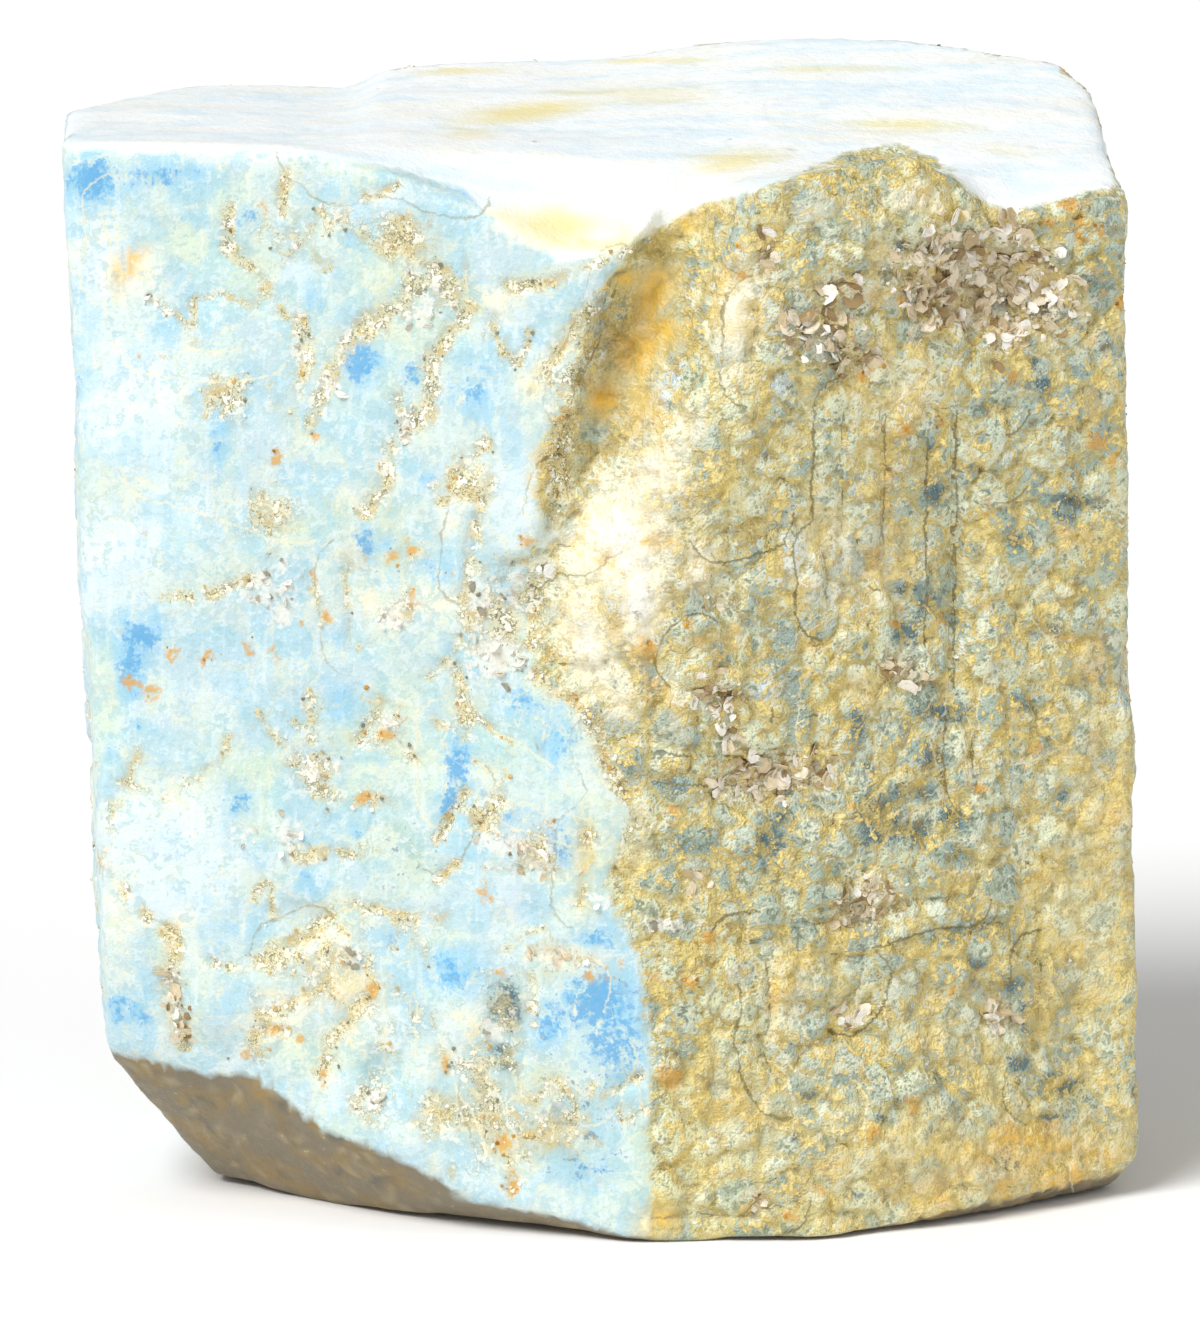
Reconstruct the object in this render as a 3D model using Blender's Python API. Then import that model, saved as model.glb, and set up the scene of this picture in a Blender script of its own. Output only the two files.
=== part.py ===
"""Aquamarine specimen: one broken block of massive beryl, standing on a few small flats.

Two faces of the crystal's prism make the front. They meet in a blunt upright crest. The top is a
smooth parting across the crystal, and the lower left corner is broken away from underneath.

Lengths are in millimetres until the finished mesh is scaled to metres. While modelling, +X is to
the right, +Y goes back from the crest, and +Z is up from the surface that the block stands on.
"""

import math

import bmesh
import bpy
from mathutils import Vector, noise

NODE_NAME = "beryl_block"
METRES = 0.001

# Driving dimensions.
BLOCK_DEPTH = 49.0
BLOCK_HEIGHT = 72.0
FOOT_SPARE = 0.35
LEFT_FACE_TURN = math.radians(12.0)
RIGHT_FACE_TURN = math.radians(20.5)
CREST_RADIUS = 2.0

# The two grids that the surface is worked on, and what is kept of the second.
GRID_DEPTH = 7
GRID_FILL = 0.9
FINE_GRID = 0.7
SOFTENED = 2
SOFTENING = 0.5
TRIANGLES = 9400
SHARP_ANGLE = math.radians(28.0)

# Plan of the block, as (foot x, foot y, head x, head y) for each upright edge. The front is left
# flat here, because front_depth() gives it its two prism faces.
UPRIGHT_EDGES = (
    (-33.2, 0.0, -36.3, 0.0),
    (37.7, 0.0, 35.1, 0.0),
    (37.7, 13.0, 35.1, 13.0),
    (34.5, 33.0, 35.3, 32.0),
    (25.0, 46.0, 30.5, 47.5),
    (4.0, 49.0, 5.0, 49.5),
    (-24.0, 45.0, -20.0, 47.0),
    (-33.0, 41.0, -34.5, 45.0),
    (-35.0, 22.0, -37.4, 27.0),
)

# Height of the top parting along its back edge, as (x, z). A ledge steps up near x = -16.
BACK_HEIGHTS = (
    (-38.0, 72.6),
    (-24.0, 72.3),
    (-17.4, 72.2),
    (-15.4, 73.5),
    (2.0, 74.2),
    (10.0, 75.3),
    (24.0, 75.7),
    (36.0, 75.1),
)
# The same along the front edge: a dip broken out of the middle, then a hump on the right.
LIP_HEIGHTS = (
    (-38.0, 73.7),
    (-24.0, 74.0),
    (-18.0, 73.6),
    (-12.0, 71.9),
    (-6.6, 69.6),
    (-2.0, 67.6),
    (0.6, 67.4),
    (2.6, 69.0),
    (6.6, 71.0),
    (12.6, 72.8),
    (18.0, 73.9),
    (21.0, 73.6),
    (24.1, 71.4),
    (26.8, 69.3),
    (30.9, 69.8),
    (36.0, 70.6),
)
# The parting a little way behind that edge, where the dip and the hump have died away.
FRONT_HEIGHTS = ((-38.0, 73.7), (-18.0, 73.7), (0.0, 72.2), (12.0, 71.8), (22.0, 71.0), (36.0, 70.6))
LIP_REACH = 9.5
LIP_FADE = 1.3

# The crest between the two prism faces, as (z, x).
CREST = ((0.0, 3.2), (24.0, 2.8), (37.0, 3.2), (45.0, 4.4), (55.0, 7.0), (63.0, 9.6), (76.0, 11.0))
# The broken right edge of the left-hand slab, as (z, x), and how deep the step behind it is.
SLAB_EDGE = (
    (22.0, 2.7),
    (27.0, 1.4),
    (31.0, 2.2),
    (35.0, 0.0),
    (40.5, -4.0),
    (44.5, -4.9),
    (49.0, -3.7),
    (53.2, -2.6),
    (58.0, -1.7),
    (62.8, -0.6),
    (65.5, 0.4),
    (70.0, 3.4),
    (76.0, 7.0),
)
SLAB_STEP = (
    (18.0, 0.0),
    (31.0, 0.6),
    (42.0, 1.1),
    (49.0, 2.0),
    (56.0, 3.4),
    (64.0, 4.2),
    (76.0, 3.8),
)
# The step's own width, that of the groove's floor behind it, and the least that the rise to the
# crest takes.
STEP_WIDTH = 1.1
FLOOR_WIDTH = 1.9
RISE_WIDTH = 2.0
# How the front's shape dies away towards the back.
FRONT_FADE = 1.5

# Hollows and swellings of the front, as (x, z, half width, half height, depth). A negative depth
# stands proud.
FRONT_HOLLOWS = (
    (26.0, 64.5, 5.2, 3.8, 1.8),
    (10.3, 31.3, 3.6, 2.0, 1.1),
    (-5.4, 43.5, 1.9, 3.8, 1.2),
    (-14.7, 10.8, 1.6, 1.8, 1.5),
    (-20.2, 21.3, 3.2, 1.2, 1.2),
    (-5.0, 22.0, 2.6, 1.1, 0.9),
    (-6.6, 12.0, 1.4, 4.5, 0.7),
    (14.9, 61.0, 2.6, 2.2, -1.0),
    (19.0, 68.5, 4.5, 4.2, -1.1),
    (0.6, 45.0, 4.2, 6.5, -1.1),
    (3.2, 55.0, 2.4, 5.0, -0.7),
    (-27.0, 50.0, 9.0, 16.0, -0.8),
    (-14.0, 33.0, 8.0, 9.0, 0.7),
    (-29.0, 28.0, 6.0, 9.0, -0.5),
    (20.0, 22.0, 10.0, 13.0, -0.9),
    (22.0, 45.0, 6.0, 7.0, 0.8),
    (23.8, 40.0, 1.4, 11.0, 0.7),
    (34.5, 37.0, 2.5, 2.5, 0.9),
    (20.0, 0.0, 13.0, 14.0, -3.0),
)
# Where a hollow's full depth ends and where the hollow ends, as shares of its half size.
HOLLOW_EDGE = (0.3, 1.2)

# Flat breaks, as (point, outward normal): what lies beyond each plane is gone.
BREAKS = (
    ((-9.3, 2.0, 2.8), (-0.42, -0.672, -0.61)),
    ((2.7, 0.0, 0.2), (-0.264, -0.603, -0.754)),
    ((-24.5, 6.0, 10.3), (-0.361, -0.905, -0.235)),
    ((-34.0, 12.0, 10.6), (-0.85, 0.05, -0.52)),
    ((35.0, 12.4, 0.8), (0.40, -0.58, -0.71)),
    ((37.0, 22.0, 4.0), (0.84, 0.10, -0.53)),
    ((35.3, 30.0, 71.6), (0.80, -0.05, 0.60)),
    ((-36.9, 30.0, 73.4), (-0.60, 0.35, 0.72)),
    ((-33.5, 46.0, 60.0), (-0.66, 0.70, 0.27)),
    ((0.0, 49.0, 9.0), (-0.10, 0.78, -0.62)),
    ((20.0, 48.9, 52.0), (0.16, 0.98, 0.04)),
    ((-8.0, 48.3, 44.0), (-0.13, 0.98, -0.12)),
    ((10.0, 47.4, 20.0), (0.12, 0.95, -0.29)),
    ((-19.0, 45.2, 30.0), (-0.33, 0.94, -0.06)),
    ((25.0, 45.0, 36.0), (0.47, 0.88, -0.02)),
    ((36.4, 30.0, 40.0), (0.985, 0.16, 0.03)),
    ((-35.8, 34.0, 30.0), (-0.95, 0.28, -0.12)),
)

# Dents, as (x, y, z, radius, depth inwards): pits and shells broken out of an edge or a face.
DENTS = (
    (-24.5, 6.0, 9.5, 6.5, 0.9),
    (31.5, 46.5, 75.0, 4.5, 1.7),
    (36.0, 14.0, 37.0, 4.0, 0.8),
    (-35.5, 12.0, 56.0, 4.0, 0.5),
    (34.5, 30.0, 60.0, 7.0, 1.2),
    (36.0, 24.0, 24.0, 6.0, 1.0),
    (-36.0, 26.0, 40.0, 8.0, 1.3),
)
DENT_EDGE = (0.2, 1.0)

# Where the underside stays full and touches down, as (x, y, radius). A land is whole out to this
# share of its radius, and its rim wanders by this (size, share).
LANDS = ((6.0, 6.0, 7.0), (-17.5, 13.5, 5.5), (28.0, 17.0, 6.0), (-14.0, 37.0, 6.5), (17.0, 38.0, 7.5))
LAND_CORE = 0.6
LAND_RAGGED = (4.0, 0.45)
# How far the rest of the underside is raised, and the (size, height) of its own lumps.
UNDERSIDE_RECESS = 0.55
UNDERSIDE_UNEVEN = (7.0, 0.5)
UNDERSIDE_OCTAVES = (0.8, 2.0, 2)
FOOT_PLANE = ((0.0, 0.0, 0.0), (0.0, 0.0, -1.0))

# How one broken plate lies: how much of its size the slope down to the next one takes, how far it
# tilts, how far it stands out or in, and what tells one plate's tilt from the next. The seed keeps
# the tilts the same each time.
PLATE_RAMP = 0.16
PLATE_TILT = 1.6
PLATE_OFFSET = 0.5
PLATE_SHUFFLE = 7.3
PLATE_SEED = 5

# Low relief, as (size, height). Octaves say how fast finer lumps lose height, how much finer each
# set of them is, and how many sets there are.
SWELL = (13.0, 0.22)
SWELL_OCTAVES = (0.9, 2.1, 3)
RIGHT_LUMPS = (4.5, 0.28)
RIGHT_PLATES = (7.5, 0.36)
LEFT_PLATES = (9.0, 0.24)
LEFT_PLATE_SQUASH = 0.6
HIDDEN_PLATES = (14.0, 1.05)
HIDDEN_CHIPS = (6.5, 0.40)
HIDDEN_SINK = 0.4
HIDDEN_START = (9.0, 20.0)
HIDDEN_LEAST = 0.3
# The same for what runs one way, as (size along x, along y, along z, height).
LEFT_FIBRES = (4.5, 4.5, 18.0, 0.16)
TOP_STREAKS = (20.0, 5.5, 6.0, 0.22)

# How far a normal leans that way for a face to count as this kind: not at all, then wholly.
LEFTWARD = (0.05, 0.18)
RIGHTWARD = (0.05, 0.30)
FORWARD = (0.5, 0.9)
UPWARD = (0.55, 0.9)
DOWNWARD = (0.75, 0.95)
UNDERCUT = (0.2, 0.6)
BACKWARD = (-0.2, 0.5)
SIDEWAYS = (0.6, 0.95)

BERYL_COLOUR = (0.55, 0.68, 0.66, 1.0)
BERYL_ROUGHNESS = 0.5


def through(points, at):
    """Value at this place of a smooth curve through (place, value) points."""
    if at <= points[0][0]:
        return points[0][1]
    if at >= points[-1][0]:
        return points[-1][1]
    last = len(points) - 1
    i = max(k for k in range(last) if points[k][0] <= at)
    (a, low), (b, high) = points[i], points[i + 1]
    before, after = points[max(0, i - 1)], points[min(last, i + 2)]
    slope_in = (high - before[1]) / (b - before[0]) * (b - a)
    slope_out = (after[1] - low) / (after[0] - a) * (b - a)
    t = (at - a) / (b - a)
    rise = t * t * (3.0 - 2.0 * t)
    return low + (high - low) * rise + slope_in * t * (1.0 - t) ** 2 - slope_out * t * t * (1.0 - t)


def eased(low, high, value):
    """0 below low, 1 above high, and a smooth rise between them."""
    share = min(1.0, max(0.0, (value - low) / (high - low)))
    return share * share * (3.0 - 2.0 * share)


def top_height(x, y):
    """Height of the top parting over a point of the plan."""
    back = min(1.0, max(0.0, y / BLOCK_DEPTH))
    height = through(FRONT_HEIGHTS, x) * (1.0 - back) + through(BACK_HEIGHTS, x) * back
    at_lip = through(LIP_HEIGHTS, x) - through(FRONT_HEIGHTS, x)
    return height + at_lip * (1.0 - eased(0.0, LIP_REACH, y)) ** LIP_FADE


def front_depth(x, z):
    """How far behind y = 0 the front face lies: two turned faces, the slab's step and the hollows."""
    from_crest = x - through(CREST, z)
    blunt = math.hypot(from_crest, CREST_RADIUS) - CREST_RADIUS
    depth = blunt * math.tan(LEFT_FACE_TURN if from_crest < 0.0 else RIGHT_FACE_TURN)

    past_slab = x - through(SLAB_EDGE, z)
    floor_end = STEP_WIDTH + FLOOR_WIDTH
    to_crest = max(floor_end + RISE_WIDTH, through(CREST, z) - through(SLAB_EDGE, z))
    if 0.0 < past_slab < to_crest:
        valley = eased(0.0, STEP_WIDTH, past_slab) * (1.0 - eased(floor_end, to_crest, past_slab))
        depth += through(SLAB_STEP, z) * valley

    for hollow_x, hollow_z, half_width, half_height, deep in FRONT_HOLLOWS:
        away = math.hypot((x - hollow_x) / half_width, (z - hollow_z) / half_height)
        depth += deep * (1.0 - eased(*HOLLOW_EDGE, away))
    return depth


def block():
    """The block before its breaks: an upright prism with a flat front and a level top."""
    work = bmesh.new()
    count = len(UPRIGHT_EDGES)
    foot = [work.verts.new((x, y, -FOOT_SPARE)) for x, y, _, _ in UPRIGHT_EDGES]
    head = [work.verts.new((x, y, BLOCK_HEIGHT)) for _, _, x, y in UPRIGHT_EDGES]
    for i in range(count):
        j = (i + 1) % count
        work.faces.new((foot[i], foot[j], head[j], head[i]))
    work.faces.new(foot[::-1])
    work.faces.new(head)
    return work


def evaluated(mesh, kind, settings):
    """The mesh after one modifier of this kind with these settings."""
    helper = bpy.data.objects.new("helper", mesh)
    bpy.context.collection.objects.link(helper)
    modifier = helper.modifiers.new("step", kind)
    for name, value in settings.items():
        setattr(modifier, name, value)
    result = helper.evaluated_get(bpy.context.evaluated_depsgraph_get())
    work = bmesh.new()
    work.from_mesh(result.to_mesh())
    result.to_mesh_clear()
    bpy.data.objects.remove(helper)
    bpy.data.meshes.remove(mesh)
    return work


def as_mesh(work, name):
    mesh = bpy.data.meshes.new(name)
    work.to_mesh(mesh)
    work.free()
    return mesh


def sharp_grid(work):
    """The same closed surface as an even grid of small faces that keeps its sharp edges."""
    settings = {"mode": "SHARP", "octree_depth": GRID_DEPTH, "scale": GRID_FILL}
    return evaluated(as_mesh(work, "grid"), "REMESH", settings)


def soft_grid(work):
    """The same as a grid that has no seams where the breaks were closed, its edges a little worn."""
    settings = {"mode": "VOXEL", "voxel_size": FINE_GRID}
    work = evaluated(as_mesh(work, "grid"), "REMESH", settings)
    for _ in range(SOFTENED):
        bmesh.ops.smooth_vert(
            work,
            verts=work.verts[:],
            factor=SOFTENING,
            use_axis_x=True,
            use_axis_y=True,
            use_axis_z=True,
        )
    return work


def shape_faces(work):
    """Bends the prism's flat front and level top into the real faces."""
    for vert in work.verts:
        x, y, z = vert.co
        z *= top_height(x, y) / BLOCK_HEIGHT
        toward_front = 1.0 - min(1.0, max(0.0, y / BLOCK_DEPTH))
        y += front_depth(x, z) * toward_front**FRONT_FADE
        vert.co = (x, y, z)


def break_off(work, point, normal):
    """Cuts the block by one plane and closes the cut."""
    cut = bmesh.ops.bisect_plane(
        work,
        geom=work.verts[:] + work.edges[:] + work.faces[:],
        plane_co=Vector(point),
        plane_no=Vector(normal),
        clear_outer=True,
    )
    rim = [item for item in cut["geom_cut"] if isinstance(item, bmesh.types.BMEdge)]
    bmesh.ops.edgenet_fill(work, edges=rim)


def hackly(place, cell):
    """Stepped plates, each tilted its own way, as beryl breaks. Between about -1 and 1."""
    distances, seeds = noise.voronoi(place / cell)
    share = 0.5 + 0.5 * eased(0.0, PLATE_RAMP, distances[1] - distances[0])
    heights = []
    for seed in seeds[:2]:
        tilt = noise.noise_vector(seed * PLATE_SHUFFLE)
        height = tilt.dot(place / cell - seed) * PLATE_TILT + PLATE_OFFSET * tilt.x
        heights.append(max(-1.0, min(1.0, height)))
    return heights[0] * share + heights[1] * (1.0 - share)


def lumps(place, kind):
    """Soft lumps of this (size, height)."""
    size, height = kind
    return height * noise.noise(place / size)


def plates(place, kind):
    """Broken plates of this (size, height)."""
    size, height = kind
    return height * hackly(place, size)


def drawn_out(place, kind):
    """Soft lumps of this (size along x, y and z, height)."""
    size_x, size_y, size_z, height = kind
    return height * noise.noise(Vector((place.x / size_x, place.y / size_y, place.z / size_z)))


def roughness(place, normal):
    """How far a point of the surface moves out along its normal."""
    forward = eased(*FORWARD, -normal.y)
    left_face = eased(*LEFTWARD, -normal.x) * forward
    right_face = eased(*RIGHTWARD, normal.x) * forward
    upward = eased(*UPWARD, normal.z)
    hidden = max(
        eased(*BACKWARD, normal.y), eased(*UNDERCUT, -normal.z), eased(*SIDEWAYS, abs(normal.x))
    )
    hidden *= (1.0 - upward) * (HIDDEN_LEAST + (1.0 - HIDDEN_LEAST) * eased(*HIDDEN_START, place.y))

    size, height = SWELL
    out = height * noise.fractal(place / size, *SWELL_OCTAVES)
    out += right_face * (lumps(place, RIGHT_LUMPS) + plates(place, RIGHT_PLATES))
    out += left_face * drawn_out(place, LEFT_FIBRES)
    squashed = Vector((place.x, place.y, place.z * LEFT_PLATE_SQUASH))
    out += left_face * plates(squashed, LEFT_PLATES)
    out += upward * drawn_out(place, TOP_STREAKS)
    return out + hidden * (plates(place, HIDDEN_PLATES) + plates(place, HIDDEN_CHIPS) - HIDDEN_SINK)


def underside(place, normal):
    """How far a point that faces down moves up: nothing on a land, and unevenly round it."""
    size, share = LAND_RAGGED
    ragged = 1.0 + share * noise.noise(place / size)
    land = 0.0
    for x, y, radius in LANDS:
        away = math.hypot(place.x - x, place.y - y) * ragged
        land = max(land, 1.0 - eased(LAND_CORE * radius, radius, away))
    size, height = UNDERSIDE_UNEVEN
    uneven = UNDERSIDE_RECESS + height * abs(noise.fractal(place / size, *UNDERSIDE_OCTAVES))
    return eased(*DOWNWARD, -normal.z) * (1.0 - land) * uneven


def roughen(work):
    """Moves every point out or in along its normal, all read before any moves."""
    work.normal_update()
    moves = []
    for vert in work.verts:
        place, normal = vert.co, vert.normal
        facing_down = eased(*DOWNWARD, -normal.z)
        out = roughness(place, normal) * (1.0 - facing_down)
        for x, y, z, radius, deep in DENTS:
            away = (place - Vector((x, y, z))).length / radius
            out -= deep * (1.0 - eased(*DENT_EDGE, away))
        moves.append((vert, normal * out + Vector((0.0, 0.0, underside(place, normal)))))
    for vert, move in moves:
        vert.co += move


def to_origin(work):
    """Puts the origin at the middle of the underside of the block's box, and turns mm to metres."""
    low = Vector([min(vert.co[i] for vert in work.verts) for i in range(3)])
    high = Vector([max(vert.co[i] for vert in work.verts) for i in range(3)])
    base = Vector(((low.x + high.x) / 2.0, (low.y + high.y) / 2.0, low.z))
    for vert in work.verts:
        vert.co = (vert.co - base) * METRES


def beryl_material():
    """Massive beryl seen as a whole: pale sky blue, waxy where it parted."""
    material = bpy.data.materials.new("massive beryl")
    material.use_nodes = True
    shader = material.node_tree.nodes["Principled BSDF"]
    shader.inputs["Base Color"].default_value = BERYL_COLOUR
    shader.inputs["Roughness"].default_value = BERYL_ROUGHNESS
    shader.inputs["Metallic"].default_value = 0.0
    material.diffuse_color = BERYL_COLOUR
    return material


def build():
    for old in list(bpy.data.objects):
        bpy.data.objects.remove(old)
    noise.seed_set(PLATE_SEED)

    work = sharp_grid(block())
    shape_faces(work)
    for point, normal in BREAKS:
        break_off(work, point, normal)
    work = soft_grid(work)
    bmesh.ops.triangulate(work, faces=work.faces[:])
    roughen(work)

    ratio = TRIANGLES / len(work.faces)
    work = evaluated(as_mesh(work, "rough"), "DECIMATE", {"ratio": ratio})
    break_off(work, *FOOT_PLANE)
    bmesh.ops.triangulate(work, faces=work.faces[:])
    to_origin(work)

    mesh = as_mesh(work, NODE_NAME)
    mesh.materials.append(beryl_material())
    specimen = bpy.data.objects.new(NODE_NAME, mesh)
    bpy.context.collection.objects.link(specimen)
    mesh.shade_smooth()
    mesh.set_sharp_from_angle(angle=SHARP_ANGLE)
    return specimen


build()
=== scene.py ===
# Aquamarine specimen: the skin of the block, its mica, its iron grains and its crumbs.
import functools
import math

import bmesh
import bpy
import numpy as np
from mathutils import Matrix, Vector, noise


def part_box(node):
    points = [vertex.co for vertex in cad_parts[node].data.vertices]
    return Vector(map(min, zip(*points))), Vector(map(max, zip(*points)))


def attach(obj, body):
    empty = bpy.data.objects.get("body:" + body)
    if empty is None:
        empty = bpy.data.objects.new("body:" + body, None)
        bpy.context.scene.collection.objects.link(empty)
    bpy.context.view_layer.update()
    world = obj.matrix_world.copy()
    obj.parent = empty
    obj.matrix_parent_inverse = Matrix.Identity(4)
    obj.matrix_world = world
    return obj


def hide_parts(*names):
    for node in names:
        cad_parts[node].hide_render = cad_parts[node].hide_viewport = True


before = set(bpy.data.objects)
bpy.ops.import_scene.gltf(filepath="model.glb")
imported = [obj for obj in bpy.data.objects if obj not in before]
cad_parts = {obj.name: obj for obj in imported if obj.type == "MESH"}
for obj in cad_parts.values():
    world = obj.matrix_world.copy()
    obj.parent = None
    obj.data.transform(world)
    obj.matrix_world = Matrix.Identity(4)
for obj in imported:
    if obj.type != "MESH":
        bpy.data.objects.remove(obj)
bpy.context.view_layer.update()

mm = 0.001
blockLow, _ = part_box("beryl_block")
print("frame loaded")

# Camera: a little above the block, through a long lens. focalPixels is in the photograph's pixels.
view = {
    "downTilt": math.radians(12.0),
    "distance": 0.6,
    "aimHeight": 0.0403,
    "focalPixels": 9000.0,
    "pixelsPerMm": 15.0,     # at the block
    "imageWide": 1200,
    "imageHigh": 1326,
    "sensor": 36.0,
}
viewAim = Vector((0.0, blockLow.y, view["aimHeight"]))
viewAhead = Vector((0.0, math.cos(view["downTilt"]), -math.sin(view["downTilt"])))
viewUp = Vector((0.0, math.sin(view["downTilt"]), math.cos(view["downTilt"])))

# Listed features, in the photograph's 1200 x 1326 pixels.
# Where the blue slab ends and the grey-green face begins, as (v, u).
slabBoundary = (
    (150, 690), (240, 640), (300, 592), (340, 580), (376, 572), (404, 564), (450, 540), (505, 538),
    (535, 560), (560, 535), (600, 535), (640, 534), (672, 536), (695, 564), (715, 585), (745, 600),
    (798, 626), (830, 632), (880, 606), (905, 612), (960, 640), (1010, 646), (1070, 652), (1130, 648),
    (1250, 652),
)
# The lip between the smooth top and the two front faces, as (u, v).
topLip = (
    (50, 148), (65, 150), (150, 152), (240, 152), (300, 153), (330, 158), (364, 163), (410, 172),
    (461, 190), (510, 236), (560, 262), (610, 254), (640, 240), (670, 222), (700, 205), (740, 196),
    (790, 178), (850, 152), (900, 144), (935, 160), (960, 182), (1000, 214), (1030, 209), (1060, 200),
    (1090, 192), (1120, 186), (1180, 180),
)
# The lower edge of the left face, with the dark underside below it, as (u, v).
underEdge = (
    (60, 1040), (106, 1049), (152, 1060), (198, 1072), (255, 1077), (290, 1101), (323, 1130),
    (357, 1141), (399, 1160), (426, 1172), (447, 1186), (463, 1200), (520, 1290),
)

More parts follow.
